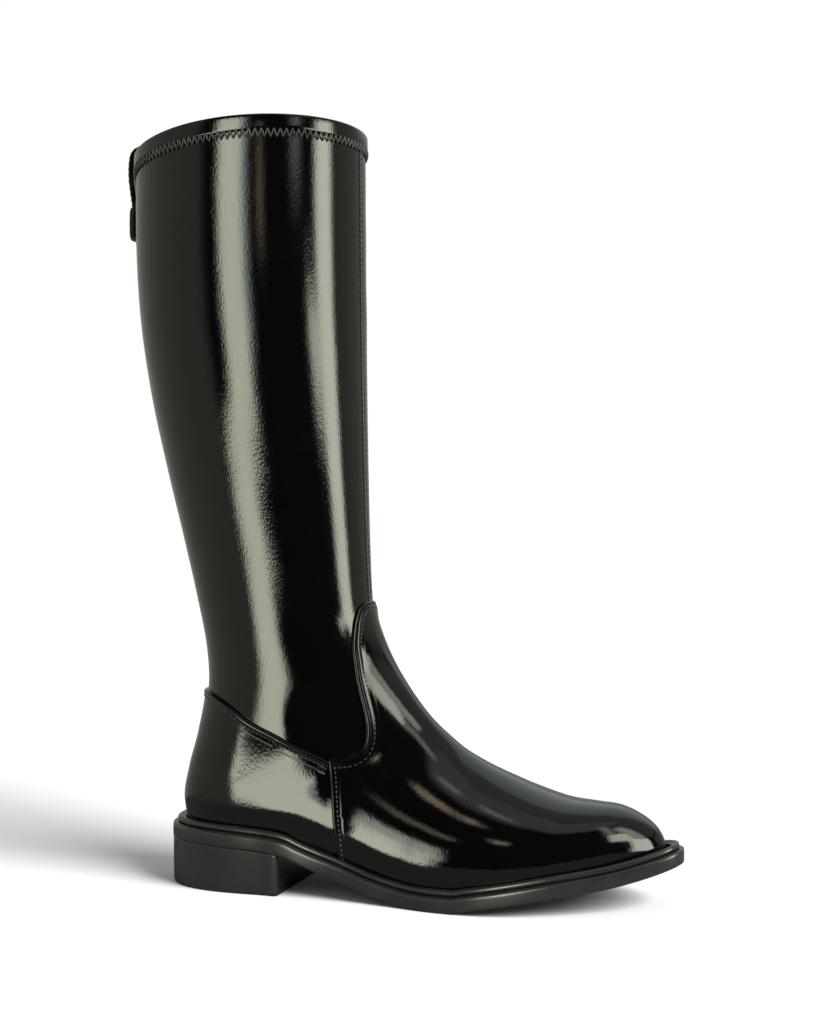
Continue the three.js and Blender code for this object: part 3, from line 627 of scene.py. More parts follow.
# A sheet that lies on the form. Rows run from a starting station down to a last one, columns
# right round. Cuts are edges that the sheet stops at, on their negative side
def sheet(name, start, end, rows, columns, height, cuts=(), loose_cuts=(), inside_out=False,
          turn=None):
    dense = np.linspace(0, LAST, 900)
    probe = form(dense[:, None], np.linspace(0, 2 * math.pi, 16, endpoint=False)[None])
    steps = np.linalg.norm(np.diff(probe, axis=0), axis=-1).mean(-1)
    down = np.concatenate([[0], np.cumsum(steps)])
    last = np.interp(end, dense, down)

    def stations(angles):
        first = np.interp(np.broadcast_to(start(angles), angles.shape), dense, down)
        share = np.linspace(0, 1, rows)[:, None]
        return np.interp(first[None] + (last - first[None]) * share, down, dense)

    guess = np.linspace(0, 2 * math.pi, columns, endpoint=False)
    t = stations(guess)
    a = np.zeros_like(t)
    fine = np.linspace(0, 2 * math.pi, 721)
    for i in range(rows):
        level = np.interp(fine, np.append(guess, 2 * math.pi), np.append(t[i], t[i][0]))
        gone = walked(form(level, fine))
        a[i] = np.interp(np.arange(columns) / columns * gone[-1], gone, fine)
    t = stations(a[0])
    cell = 0.5 * math.sqrt(float(down[-1] / rows) * 340 / columns)
    for edge in cuts:
        near = np.abs(edge(t, a)) < cell * 2.2
        tn, an = t[near], a[near]
        for attempt in range(3):
            d, st, sa, steep, *_rest = measure(edge, tn, an)
            if attempt == 0:
                close = np.abs(d) / steep < cell
            tn = np.where(close, tn - d * st / steep ** 2, tn)
            an = np.where(close, an - d * sa / steep ** 2, an)
        t[near], a[near] = tn, an
    t = np.clip(t, 0, LAST)
    place = lambda tt, aa: lifted(tt, aa, height(tt, aa))
    p = place(t, a)
    n = surface_normals(place, t, a, 0.012)
    if turn:
        w = turn(p)
        nx = n[..., 0] * np.cos(w) - n[..., 1] * np.sin(w)
        ny = n[..., 0] * np.sin(w) + n[..., 1] * np.cos(w)
        n = np.stack([nx, ny, n[..., 2]], -1)
    keep = np.ones(t.shape, bool)
    for edges, slack in ((cuts, 0.06), (loose_cuts, 0)):
        for edge in edges:
            keep &= edge(t, a) <= slack
    quads = grid_faces(rows, columns, True)
    held = keep.ravel()[quads]
    faces = [tuple(q) for q in quads[held.all(1)]]
    for q, h in zip(quads[held.sum(1) == 3], held[held.sum(1) == 3]):
        faces.append(tuple(q[h]))
    used = np.unique([i for f in faces for i in f])
    number = np.full(t.size, -1)
    number[used] = np.arange(len(used))
    way = -1 if inside_out else 1
    faces = [tuple(number[list(f)])[::way] for f in faces]
    return new_object(name, p.reshape(-1, 3)[used], faces, way * n.reshape(-1, 3)[used])


# A strip swept along a seam: the profile's columns are the distance inward and the height
def strip(name, seam, profile, closed=False):
    points = np.stack([seam.places(b, h) for b, h in profile], 1)
    faces = (capped_faces if closed else grid_faces)(*points.shape[:2])
    return outward(new_object(name, points, faces), seam)


# A round tube along points, with normals to keep its section steady
def tube(name, points, radius, sides, normals):
    d = unit(np.gradient(points, axis=0))
    b = unit(np.cross(d, normals))
    n = np.cross(b, d)
    turns = 2 * math.pi * np.arange(sides) / sides
    rings = [points + (b * math.cos(u) + n * math.sin(u)) * radius for u in turns]
    return stacked(name, np.stack(rings, 1))


# Many thread capsules joined in one mesh, each from one point to another. The shape's columns
# are the share of the length, the width and the lift
THREAD_SHAPE = (
    (0.0, 0.15, -0.6), (0.08, 0.75, -0.1), (0.3, 1.0, 0.7), (0.5, 1.04, 1.0),
    (0.7, 1.0, 0.7), (0.92, 0.75, -0.1), (1.0, 0.15, -0.6),
)


def threads(name, starts, ends, normals, radius, sides=6, arch=0.35):
    starts = np.asarray(starts, float)
    run = np.asarray(ends, float) - starts
    d = unit(run)
    b = unit(np.cross(d, np.asarray(normals, float)))
    n = np.cross(b, d)
    rings = []
    for share, wide, lift in THREAD_SHAPE:
        centre = starts + run * share + n * radius * arch * lift
        for k in range(sides):
            u = 2 * math.pi * k / sides
            rings.append(centre + (b * math.cos(u) + n * math.sin(u)) * radius * wide)
    one = grid_faces(len(THREAD_SHAPE), sides, True)
    each = (np.arange(len(starts)) * len(rings))[:, None, None]
    return outward(new_object(name, np.stack(rings, 1), (one[None] + each).reshape(-1, 4)))


# Rows of stitches: seam, distance inward, height, and the bare lengths at both ends
def stitch_row(name, seams, pitch, share, radius):
    parts = []
    for seam, inward, height, low, high in seams:
        count = int((seam.length[-1] - low - high) // pitch)
        at = low + pitch * (np.arange(count) + 0.5)
        ends = [seam.at(at + way * pitch * share / 2).places(inward, height) for way in (-1, 1)]
        parts.append((*ends, seam.at(at).n))
    return threads(name, *(np.vstack(column) for column in zip(*parts)), radius)


# The foot's outline at the sole, from the form
def spaced(loop, count):
    closed = np.vstack([loop, loop[:1]])
    gone = walked(closed)
    at = np.arange(count) / count * gone[-1]
    return np.stack([np.interp(at, gone, closed[:, k]) for k in range(2)], -1)


def foot_outline(steps=110, rise=0.3):
    def below(t, angle):
        p = lifted(t, angle, np.full(np.shape(t), OVERLAY))
        return p[..., 2] < seat(p[..., 0]) + rise

    heel_end = halved(8, 16, lambda t: below(t, math.pi))
    toe_end = halved(16, LAST, lambda t: below(t, 0.0))
    t = heel_end + (toe_end - heel_end) * (1 - np.cos(np.pi * np.arange(steps + 1) / steps)) / 2
    halves = []
    for side in (-1, 1):
        a = halved(np.zeros_like(t), np.full_like(t, math.pi), lambda m: below(t, m * side))
        p = lifted(t, a * side, np.full_like(t, OVERLAY))[:, :2]
        p[0, 1] = p[-1, 1] = 0
        halves.append(p)
    even = spaced(np.vstack([halves[0], halves[1][-2:0:-1]]), 300)
    for _ in range(6):
        even = (np.roll(even, 1, 0) + 2 * even + np.roll(even, -1, 0)) / 4
    return even


FOOT_LOOP = foot_outline()


# The outline grown to the sole's edge and drawn in again by an inset
def sole_ring(inset):
    d = unit(np.roll(FOOT_LOOP, -1, 0) - np.roll(FOOT_LOOP, 1, 0))
    side, end = SIDE_MARGIN - inset, END_MARGIN - inset
    return FOOT_LOOP + np.stack([d[:, 1] * end, -d[:, 0] * side], -1)


# Stacked rings round the foot: each row is an inset from the sole's edge and a height over base
def ring_stack(name, rows, base, cap=False):
    layers = []
    for inset, up in rows:
        xy = sole_ring(inset)
        layers.append(np.column_stack([xy, base(xy[:, 0]) + up]))
    size = len(FOOT_LOOP)
    faces = grid_faces(len(layers), size, True).tolist()
    for start in (0, (len(layers) - 1) * size) if cap else ():
        for k in range(size // 2 - 1):
            a, b = start + k + 1, start + k
            c, d = start + (size - k) % size, start + size - k - 1
            face = []
            for corner in (a, b, c, d):
                if corner not in face:
                    face.append(corner)
            faces.append(face)
    return outward(new_object(name, layers, faces))


# Building shader nodes. An input given as a socket is linked, any other is set as a constant
class Tree:
    def __init__(self, tree):
        self.tree = tree
        self.count = 0

    def feed(self, slot, value):
        if hasattr(value, "links"):
            self.tree.links.new(value, slot)
        else:
            slot.default_value = value

    def add(self, kind, inputs=None, **values):
        node = self.tree.nodes.new(kind)
        node.location = (180 * (self.count % 9), -220 * (self.count // 9))
        self.count += 1
        for key, value in values.items():
            setattr(node, key, value)
        for key, value in (inputs or {}).items():
            self.feed(node.inputs[key], value)
        return node

    def place(self, kind="Object"):
        return self.add("ShaderNodeTexCoord").outputs[kind]

    def scaled_place(self, scale):
        node = self.add("ShaderNodeMapping", {"Scale": scale, "Vector": self.place()})
        return node.outputs["Vector"]

    def apart(self, vector):
        return self.add("ShaderNodeSeparateXYZ", {0: vector}).outputs

    def math(self, operation, *values):
        inputs = dict(enumerate(values))
        return self.add("ShaderNodeMath", inputs, operation=operation).outputs[0]

    def noise(self, vector, scale, detail, roughness=0.5):
        inputs = {"Scale": scale, "Detail": detail, "Roughness": roughness, "Vector": vector}
        return self.add("ShaderNodeTexNoise", inputs).outputs["Fac"]

    def bands(self, direction, scale):
        inputs = {"Scale": scale, "Distortion": 0, "Vector": self.place()}
        node = self.add("ShaderNodeTexWave", inputs, wave_type="BANDS", bands_direction=direction)
        return node.outputs["Fac"]

    def ramp(self, value, low, high, to_low=0.0, to_high=1.0):
        inputs = {
            "Value": value, "From Min": low, "From Max": high, "To Min": to_low,
            "To Max": to_high,
        }
        node = self.add("ShaderNodeMapRange", inputs, interpolation_type="SMOOTHSTEP")
        return node.outputs["Result"]

    def mix(self, factor, a, b):
        node = self.add("ShaderNodeMix", {"Factor": factor}, data_type="RGBA")
        for slot, value in zip([s for s in node.inputs if s.type == "RGBA"], (a, b)):
            self.feed(slot, value if hasattr(value, "links") else (*value, 1))
        return [s for s in node.outputs if s.type == "RGBA"][0]

    def pick(self, factor, a, b):
        inputs = {0: factor, 1: a.outputs[0], 2: b.outputs[0]}
        return self.add("ShaderNodeMixShader", inputs)


def shader_group(name, inputs, outputs, build):
    if name in bpy.data.node_groups:
        return bpy.data.node_groups[name]
    tree = bpy.data.node_groups.new(name, "ShaderNodeTree")
    for label, kind, default in inputs:
        item = tree.interface.new_socket(label, in_out="INPUT", socket_type=kind)
        item.default_value = default
    for label, kind in outputs:
        tree.interface.new_socket(label, in_out="OUTPUT", socket_type=kind)
    t = Tree(tree)
    build(t, t.add("NodeGroupInput").outputs, t.add("NodeGroupOutput").inputs)
    return tree


# Fine unevenness of a patent film: orange peel, and the finer grain of a stretch backing
def film_grain():
    def build(t, given, out):
        stretched = t.scaled_place((1, 1, 0.62))
        fine = t.noise(stretched, given["Grain Scale"], 3, 0.6)
        broad = t.noise(stretched, 95, 1.5)
        slow = t.noise(t.place(), 22, 1)
        a = t.math("MULTIPLY", fine, given["Grain"])
        b = t.math("MULTIPLY", broad, given["Peel"])
        c = t.math("MULTIPLY", slow, given["Sway"])
        t.feed(out["Height"], t.math("ADD", t.math("ADD", a, b), c))

    return shader_group(
        "Film Grain",
        [("Grain Scale", "NodeSocketFloat", 900.0), ("Grain", "NodeSocketFloat", 1.0),
         ("Peel", "NodeSocketFloat", 1.0), ("Sway", "NodeSocketFloat", 1.0)],
        [("Height", "NodeSocketFloat")],
        build,
    )


# Faint unevenness of colour and gloss: handling marks and specks of dust
def handling():
    def build(t, given, out):
        place = t.place()
        veil = t.ramp(t.noise(place, 38, 4, 0.6), 0.42, 0.72)
        spots = t.ramp(t.noise(place, 1400, 2, 0.7), 0.66, 0.76)
        mask = t.math("ADD", t.math("MULTIPLY", veil, 0.6), t.math("MULTIPLY", spots, 0.4))
        share = t.math("MULTIPLY", mask, given["Amount"])
        t.feed(out["Colour"], t.mix(share, given["Colour"], given["Mark"]))
        dull = t.math("MULTIPLY", t.math("MULTIPLY", veil, given["Amount"]), given["Haze"])
        t.feed(out["Roughness"], t.math("ADD", dull, given["Gloss"]))

    return shader_group(
        "Handling",
        [("Colour", "NodeSocketColor", (0.01, 0.01, 0.01, 1)),
         ("Mark", "NodeSocketColor", (0.03, 0.03, 0.03, 1)),
         ("Amount", "NodeSocketFloat", 0.5), ("Gloss", "NodeSocketFloat", 0.05),
         ("Haze", "NodeSocketFloat", 0.05)],
        [("Colour", "NodeSocketColor"), ("Roughness", "NodeSocketFloat")],
        build,
    )


# Each material is made once. Build gives the node that ends in the surface
def made_once(name, build):
    if name not in bpy.data.materials:
        material = bpy.data.materials.new(name)
        material.use_nodes = True
        material.node_tree.nodes.clear()
        t = Tree(material.node_tree)
        t.add("ShaderNodeOutputMaterial", {"Surface": build(t).outputs[0]})
    return bpy.data.materials[name]


# A surface with handling marks and a relief: colour, the marks' colour and amount, roughness and
# what the marks add to it, the relief's height and depth, and what else its gloss needs
def surface(name, colour, mark, amount, gloss, haze, relief, depth, **more):
    def build(t):
        worn = {
            "Colour": (*colour, 1), "Mark": (*mark, 1), "Amount": amount, "Gloss": gloss,
            "Haze": haze,
        }
        marks = t.add("ShaderNodeGroup", worn, node_tree=handling())
        bump = t.add("ShaderNodeBump", {"Strength": 1, "Distance": depth, "Height": relief(t)})
        inputs = {
            "Base Color": marks.outputs["Colour"], "Roughness": marks.outputs["Roughness"],
            "Normal": bump.outputs["Normal"],
        }
        for key, value in more.items():
            inputs[key.replace("_", " ")] = value
        return t.add("ShaderNodeBsdfPrincipled", inputs)

    return made_once(name, build)


def film(grain, peel, sway, scale):
    def relief(t):
        inputs = {"Grain Scale": scale, "Grain": grain, "Peel": peel, "Sway": sway}
        return t.add("ShaderNodeGroup", inputs, node_tree=film_grain()).outputs["Height"]

    return relief


def patent(name):
    s = bpy.context.scene.boot_finish
    grain, peel, sway, scale, gloss = PATENTS[name]
    relief = film(grain * s.grain, peel, sway, scale)
    mark = [c * 2.2 for c in s.leather_colour]
    return surface(name, s.leather_colour, mark, 0.35, gloss, 0.03, relief, 1e-5, IOR=1.5)


def moulded_rubber():
    s = bpy.context.scene.boot_finish
    return surface(
        "Satin Rubber", s.sole_colour, (0.02, 0.021, 0.018), 0.6, 0.25, 0.1,
        film(0.8, 1.5, 3.0, 2600.0), 1e-5, Specular_IOR_Level=0.8,
    )


def tread_rubber():
    s = bpy.context.scene.boot_finish
    return surface(
        "Tread Rubber", s.sole_colour, (0.06, 0.058, 0.052), 1.0, 0.5, 0.2,
        lambda t: t.ramp(t.bands("X", 70), 0.35, 0.5), 6e-4,
    )


def metal(name="Pale Nickel"):
    return surface(
        name, (0.56, 0.54, 0.5), (0.34, 0.32, 0.29), 0.6, 0.2, 0.14,
        lambda t: t.noise(t.scaled_place((1, 1, 0.06)), 5200, 2), 4e-6, Metallic=1.0,
    )


def thread():
    s = bpy.context.scene.boot_finish
    return surface(
        "Waxed Thread", s.thread_colour, (0.12, 0.12, 0.115), 0.6, 0.3, 0.1,
        lambda t: t.bands("DIAGONAL", 900), 4e-5,
    )


def woven(name, colour, mark, scale, depth, rough):
    def weave(t):
        return t.math("MAXIMUM", t.bands("DIAGONAL", scale), t.bands("Z", scale * 1.3))

    return surface(
        name, colour, mark, 1.0, rough, 0.1, weave, depth, Sheen_Weight=0.3,
        Sheen_Roughness=0.4,
    )


def finish_piece(obj, material):
    obj.data.materials.clear()
    obj.data.materials.append(material)
    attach(obj, "boot")
    return obj


# What a user would change
class BootFinish(bpy.types.PropertyGroup):
    leather_colour: bpy.props.FloatVectorProperty(
        name="Leather", description="Colour of the patent leather", subtype="COLOR",
        size=3, min=0, max=1, default=(0.0014, 0.0014, 0.0015),
    )
    sole_colour: bpy.props.FloatVectorProperty(
        name="Sole", description="Colour of the sole, heel and welt", subtype="COLOR",
        size=3, min=0, max=1, default=(0.012, 0.0125, 0.0115),
    )
    thread_colour: bpy.props.FloatVectorProperty(
        name="Thread", description="Colour of the stitches", subtype="COLOR",
        size=3, min=0, max=1, default=(0.028, 0.028, 0.027),
    )
    lining_colour: bpy.props.FloatVectorProperty(
        name="Lining", description="Colour of the lining and insole", subtype="COLOR",
        size=3, min=0, max=1, default=(0.3, 0.235, 0.17),
    )
    grain: bpy.props.FloatProperty(
        name="Grain", description="How strong the stretch leather's grain is",
        default=1.0, min=0, max=4, subtype="FACTOR",
    )


class BootSizes(bpy.types.PropertyGroup):
    stitch_pitch: bpy.props.FloatProperty(
        name="Stitch pitch", description="Length from one stitch to the next",
        default=0.003, min=0.0015, max=0.008, unit="LENGTH",
    )
    piping_radius: bpy.props.FloatProperty(
        name="Piping radius", description="Radius of the piping round the front panel",
        default=0.00085, min=0.0004, max=0.002, unit="LENGTH",
    )
    hem_height: bpy.props.FloatProperty(
        name="Hem height", description="Height of the hem at the collar",
        default=0.0085, min=0.004, max=0.02, unit="LENGTH",
    )
    crease_depth: bpy.props.FloatProperty(
        name="Crease depth", description="Depth of the leg's soft creases, as a share",
        default=1.0, min=0, max=2, subtype="FACTOR",
    )


# Height of the leg's leather off its form: soft creases, gone at the collar and by the zip
def leg_height(t, a):
    p = form(t, a)
    deep = bpy.context.scene.boot_sizes.crease_depth
    side = np.sign(np.sin(a))
    out = np.zeros(p.shape[:-1])
    for which, x, z, lean, length, width, depth in CREASE_ROWS:
        c, s = math.cos(math.radians(lean)), math.sin(math.radians(lean))
        u = (p[..., 0] - x) * s + (p[..., 2] - z) * c
        v = (p[..., 0] - x) * c - (p[..., 2] - z) * s
        v = v + 0.004 * u * u * np.sign(which)
        bell = np.exp(-(u / length) ** 2)
        fold = np.exp(-(v / width) ** 2) - 0.55 * np.exp(-((v - 1.5 * width) / width) ** 2)
        out -= np.where(side == which, depth * deep * bell * fold, 0)
    fade = np.clip((rim(p[..., 0]) - p[..., 2] - 12) / 20, 0, 1)
    near_zip = np.clip(-zip_edge(t, a) / 10, 0, 1)
    return out * fade * near_zip


# Turn of the shading over the outer ankle, where the stretched leather lies flatter
def ankle_turn(p):
    low = 1 - ease(p[..., 2], 88, 112)
    fore = ease(p[..., 0], 68, 84)
    return math.radians(12.5) * low * fore * ease(-p[..., 1], 0, 14)


# The same over the front panel's outer side, just ahead of its seam
def instep_turn(p):
    near = 1 - ease(p[..., 0], 104, 118)
    return math.radians(6) * near * ease(-p[..., 1], 0, 14)


SEAMS = {}


# Panel edges, side seams and the zip's line from the collar down, worked out once
def seams():
    if SEAMS:
        return SEAMS
    junction = 0.3535 * SOLE_LENGTH
    vamp_end = lambda p: p[0] < junction and p[2] < 85
    SEAMS["vamp_top"] = both_sides(vamp_edge, 0.0, 5.5, 9.0, vamp_end)
    counter_end = lambda p: p[0] > junction + 1.4
    SEAMS["counter_top"] = both_sides(counter_edge, math.pi, 7.0, 12.0, counter_end)
    line = foot_curve(SIDE_SEAM_ROWS, 14)
    line = line[line[:, 1] > seat(line[:, 0]) + 0.3]
    SEAMS["side_outer"] = seam_from_line(line, -1, 13.0, 1.9, 1)
    SEAMS["side_inner"] = seam_from_line(line, 1, 13.0, 1.9, 1)
    order = np.arange(len(ZIP_LINE))
    fine = np.linspace(0, order[-1], 420)
    line = np.column_stack([np.interp(fine, order, v) for v in ZIP_LINE.T])
    line = line[line[:, 1] < rim(line[:, 0]) - 0.2]
    tail = unit(line[-1] - line[-2]) * np.linspace(0.75, ZIP_TAIL, 14)[:, None]
    SEAMS["zip"] = seam_from_line(np.vstack([line, line[-1] + tail]), 1, 0.8, 1.6)
    return SEAMS


class BOOT_OT_leg(bpy.types.Operator):
    """Leg and lining in stretch patent, with the front seam"""

    bl_idname = "boot.leg"
    bl_label = "Leg"

    def execute(self, context):
        s = seams()
        covered = lambda t, a: np.where(
            (vamp_edge(t, a) < 0) & (seam_edge(t, a) < 0), -vamp_edge(t, a), 0
        ) - PANEL_OVERLAP
        behind = lambda t, a: np.where(
            seam_edge(t, a) > 0, -counter_edge(t, a), 0
        ) - PANEL_OVERLAP
        leg = sheet(
            "leg", lambda a: rim_station(a, 1.0), 15.5, 250, 300, leg_height,
            cuts=[zip_edge], loose_cuts=[covered, behind], turn=ankle_turn,
        )
        finish_piece(leg, patent("Stretch Patent"))
        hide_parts("upper")
        inside = lambda t, a: np.full(np.shape(t), -WALL)
        lining = sheet(
            "lining", lambda a: rim_station(a, 2.0), LAST - 0.2, 150, 150, inside,
            loose_cuts=[floor_edge(0.5)], inside_out=True,
        )
        cloth = woven(
            "Lining Cloth", context.scene.boot_finish.lining_colour, (0.2, 0.155, 0.11),
            1500, 5e-5, 0.75,
        )
        finish_piece(lining, cloth)
        # the front seam: a shallow groove between two lips
        t = np.linspace(float(rim_station(0.0, 8.0)), s["vamp_top"].t.min() + 0.25, 150)
        step = 0.001
        across = step / np.linalg.norm(form(t, step) - form(t, 0.0), axis=-1)
        front = Seam(t, np.zeros_like(t), np.column_stack([np.zeros_like(t), across]))
        SEAMS["front"] = front
        lip = (0.0, -0.3), (0.12, 0.12), (0.5, 0.3), (1.3, 0.26), (2.2, 0.1), (2.8, -0.1)
        for name, sign in (("front_lip_inner", 1), ("front_lip_outer", -1)):
            piece = strip(name, front, [(sign * b, h) for b, h in lip])
            finish_piece(piece, patent("Stretch Patent"))
        return {"FINISHED"}


# The edge at which the leather ends, a little above the sole
def floor_edge(above):
    def edge(t, a):
        p = form(t, a)
        return seat(p[..., 0]) + above - p[..., 2]

    return edge


class BOOT_OT_panels(bpy.types.Operator):
    """Front panel and counter, with folded edges and piping"""

    bl_idname = "boot.panels"
    bl_label = "Front panel and counter"

    def execute(self, context):
        s = seams()
        inset = lambda edge: (lambda t, a: edge(t, a) + 1.2)
        top = float(s["vamp_top"].t.min())
        vamp = sheet(
            "vamp_panel", lambda a: np.full(np.shape(a), top - 0.3), LAST - 0.02, 250, 300,
            lambda t, a: np.full(np.shape(t), OVERLAY),
            cuts=[inset(vamp_edge), inset(seam_edge)], loose_cuts=[floor_edge(0.4)],
            turn=instep_turn,
        )
        finish_piece(vamp, patent("Smooth Patent"))
        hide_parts("vamp")
        # the counter sinks a little where it runs beneath the front panel
        back = float(s["counter_top"].t.min())
        counter = sheet(
            "counter_panel", lambda a: np.full(np.shape(a), max(back - 1.0, 6.5)), 18.0, 190, 280,
            lambda t, a: OVERLAY - 0.35 + 0.35 * np.clip((seam_edge(t, a) - 1.0) / 5, 0, 1),
            cuts=[inset(counter_edge), lambda t, a: -seam_edge(t, a) - 2.0],
            loose_cuts=[floor_edge(0.4)],
        )
        finish_piece(counter, patent("Smooth Patent"))
        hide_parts("counter")
        fold = [
            (0.25, -0.2), (0.28, 0.6), (0.42, 1.25), (0.75, 1.75), (1.3, 2.02), (1.9, 2.02),
            (2.5, 1.86), (3.1, 1.66), (3.7, 1.56), (4.3, 1.56), (5.2, 1.6), (6.2, 1.61),
            (6.9, 1.55),
        ]
        flat = [
            (0.0, -0.2), (0.02, 0.9), (0.2, 1.6), (0.6, 2.05), (1.2, 2.25), (2.0, 2.2),
            (2.7, 1.95), (3.3, 1.66), (3.9, 1.55), (4.6, 1.56), (5.5, 1.6), (6.4, 1.61),
            (7.1, 1.55),
        ]
        edge = patent("Rolled Patent Edge")
        for name, seam, profile in (
            ("vamp_fold", "vamp_top", fold), ("side_fold_outer", "side_outer", fold),
            ("side_fold_inner", "side_inner", fold), ("counter_fold", "counter_top", flat),
        ):
            finish_piece(strip(name, s[seam], profile), edge)
        radius = context.scene.boot_sizes.piping_radius * 1000
        run = s["vamp_top"].at(np.arange(1.0, s["vamp_top"].length[-1] - 1.0, 0.8))
        bead = tube("piping", run.places(-0.55, radius * 0.85), radius, 12, run.n)
        finish_piece(bead, edge)
        return {"FINISHED"}


class BOOT_OT_hem(bpy.types.Operator):
    """Hem round the collar, turned over its edge"""

    bl_idname = "boot.hem"
    bl_label = "Hem"

    def execute(self, context):
        tall = context.scene.boot_sizes.hem_height * 1000
        profile = [
            (tall + 0.1, 0.05), (tall, 0.55), (tall - 0.3, 0.98), (tall - 1.0, 1.16),
            (tall - 2.5, 1.2), (tall / 2, 1.2), (1.6, 1.2), (0.9, 1.13), (0.35, 0.85),
            (0.05, 0.35), (-0.05, -0.3), (-0.05, -1.0), (0.1, -1.7), (0.5, -2.3),
            (1.2, -2.62), (2.4, -2.7), (8.5, -2.7), (9.5, -2.5), (9.8, -1.9),
        ]
        count = 300
        rows = []
        for depth, height in profile:
            angle = np.linspace(*zip_angles(depth), count)
            rows.append(lifted(rim_station(angle, depth), angle, np.full(count, height)))
        size = count, len(profile)
        faces = grid_faces(*size).tolist() + capped_faces(*size)[-2:]
        hem = outward(new_object("hem", np.stack(rows, 1), faces))
        finish_piece(hem, patent("Stretch Patent"))
        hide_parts("collar_band")
        return {"FINISHED"}


# The angles at which the collar meets the zip's slot, at a depth: just past it, and round to it.
# Forward of the zip is on its line's left, as it runs down
def zip_angles(depth):
    found = []
    for sign in (-1, 1):
        past = lambda a: zip_across(rim_station(a, max(depth, 0.0)), a) <= sign * ZIP_SLOT / 2
        found.append(float(halved(0.6, 2.5, past)))
    return max(found), min(found) + 2 * math.pi


class BOOT_OT_stitching(bpy.types.Operator):
    """Stitch rows on the panels, the front seam, and the zigzag under the hem"""

    bl_idname = "boot.stitching"
    bl_label = "Stitching"

    def execute(self, context):
        s = seams()
        pitch = context.scene.boot_sizes.stitch_pitch * 1000
        rows = [
            (s["counter_top"], 3.3, 1.66, 1, 1),
            (s["side_outer"], 3.6, 1.62, 3, 3),
            (s["side_inner"], 3.6, 1.62, 3, 3),
        ]
        panel = stitch_row("panel_stitches", rows, pitch * 0.8, 0.66, 0.42)
        finish_piece(panel, thread())
        rows = [(s["vamp_top"], 3.4, 1.6, 2, 2)]
        fine = stitch_row("front_panel_stitches", rows, pitch * 0.8, 0.66, 0.27)
        finish_piece(fine, thread())
        rows = [(s["front"], side, 0.3, 2, 4) for side in (1.7, -1.7)]
        finish_piece(stitch_row("front_stitches", rows, pitch, 0.7, 0.24), thread())
        # the zigzag, evenly round the leg just below the hem
        behind, before = zip_angles(ZIGZAG_LEVEL)
        tall = context.scene.boot_sizes.hem_height * 1000
        count = 4 * int(350 / pitch / 2)
        fine = np.linspace(behind + 0.02, before - 0.02, 900)
        gone = walked(form(rim_station(fine, ZIGZAG_LEVEL), fine))
        angles = np.interp(np.linspace(0, gone[-1], count + 1), gone, fine)
        end = np.arange(count + 1) % 2
        t = rim_station(angles, tall + np.take(ZIGZAG_DEPTH, end))
        p = lifted(t, angles, np.take(ZIGZAG_LIFT, end))
        n = form_normal(t, angles)
        zigzag = threads("zigzag", p[:-1], p[1:], n[:-1], 0.4, 8, 0.6)
        finish_piece(zigzag, thread())
        return {"FINISHED"}


class BOOT_OT_zip(bpy.types.Operator):
    """Zip on the inner side: facings, tape, teeth, and the metal of slider and pull"""

    bl_idname = "boot.zip"
    bl_label = "Zip"

    def execute(self, context):
        line = seams()["zip"]
        half = ZIP_SLOT / 2
        weave = [
            (-half - 1.5, -1.75), (-1.2, -1.3), (0, -1.25), (1.2, -1.3), (half + 1.5, -1.75),
            (half + 1.2, -2.1), (1.2, -2.35), (0, -2.4), (-1.2, -2.35), (-half - 1.2, -2.1),
        ]
        tape = strip("zip_tape", line, weave, closed=True)
        black = woven("Zip Tape", (0.012, 0.012, 0.012), (0.03, 0.03, 0.03), 1300, 8e-5, 0.7)
        finish_piece(tape, black)
        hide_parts("zip")
        edge = [
            (-1.35, -1.5), (-1.45, -0.9), (-1.3, -0.2), (-0.9, 0.35), (-0.2, 0.62), (1.0, 0.66),
            (3.2, 0.5), (4.6, 0.36), (6.0, 0.4), (7.6, 0.34), (8.2, 0.1), (8.4, -0.2),
        ]
        for name, sign in (("zip_facing_front", -1), ("zip_facing_back", 1)):
            piece = strip(name, line, [(sign * (half + b), h) for b, h in edge])
            finish_piece(piece, patent("Smooth Patent"))
        rows = []
        for sign in (-1, 1):
            rows.append((line, sign * (half + 3.4), 0.5, 11, 3))
            rows.append((line, sign * (half + 9.6), 0.05, 11, 3))
        finish_piece(stitch_row("zip_stitches", rows, 2.6, 0.7, 0.27), thread())
        # the chain: two rows of teeth that mesh, and a bar tack at its foot
        pitch = 1.25
        end = line.length[-1] - ZIP_TAIL
        at = np.arange(9.0, end - 2.0, pitch)
        parts = []
        for k, sign in ((0, -1), (0.5, 1)):
            here = line.at(at + k * pitch)
            parts.append((here.places(sign * 2.2, -0.5), here.places(-sign * 0.7, -0.3), here.n))
        teeth = threads("zip_teeth", *(np.vstack(column) for column in zip(*parts)), 0.52, 8, 0.5)
        finish_piece(teeth, metal("Gunmetal Zip"))
        stop = line.at(np.array([end - 1.6, end - 0.2]))
        foot = stop.places(0, 0.35)[1]
        across = np.cross(stop.n[1], stop.tangent[1])
        ends = [[foot + across * way * q for q in (5.5, 5.2)[::-way]] for way in (-1, 1)]
        bar = threads("zip_bar_tack", *ends, [stop.n[1]] * 2, 0.7, 8, 0.2)
        finish_piece(bar, thread())
        for node in ("zip_slider", "zip_pull"):
            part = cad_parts[node]
            part.data.materials.clear()
            part.data.materials.append(metal())
            part.data.polygons.foreach_set("use_smooth", np.zeros(len(part.data.polygons), bool))
            round_off = part.modifiers.new("Rounded edges", "BEVEL")
            round_off.width = 0.00022
            round_off.segments = 3
            round_off.limit_method = "ANGLE"
            round_off.angle_limit = math.radians(40)
        return {"FINISHED"}


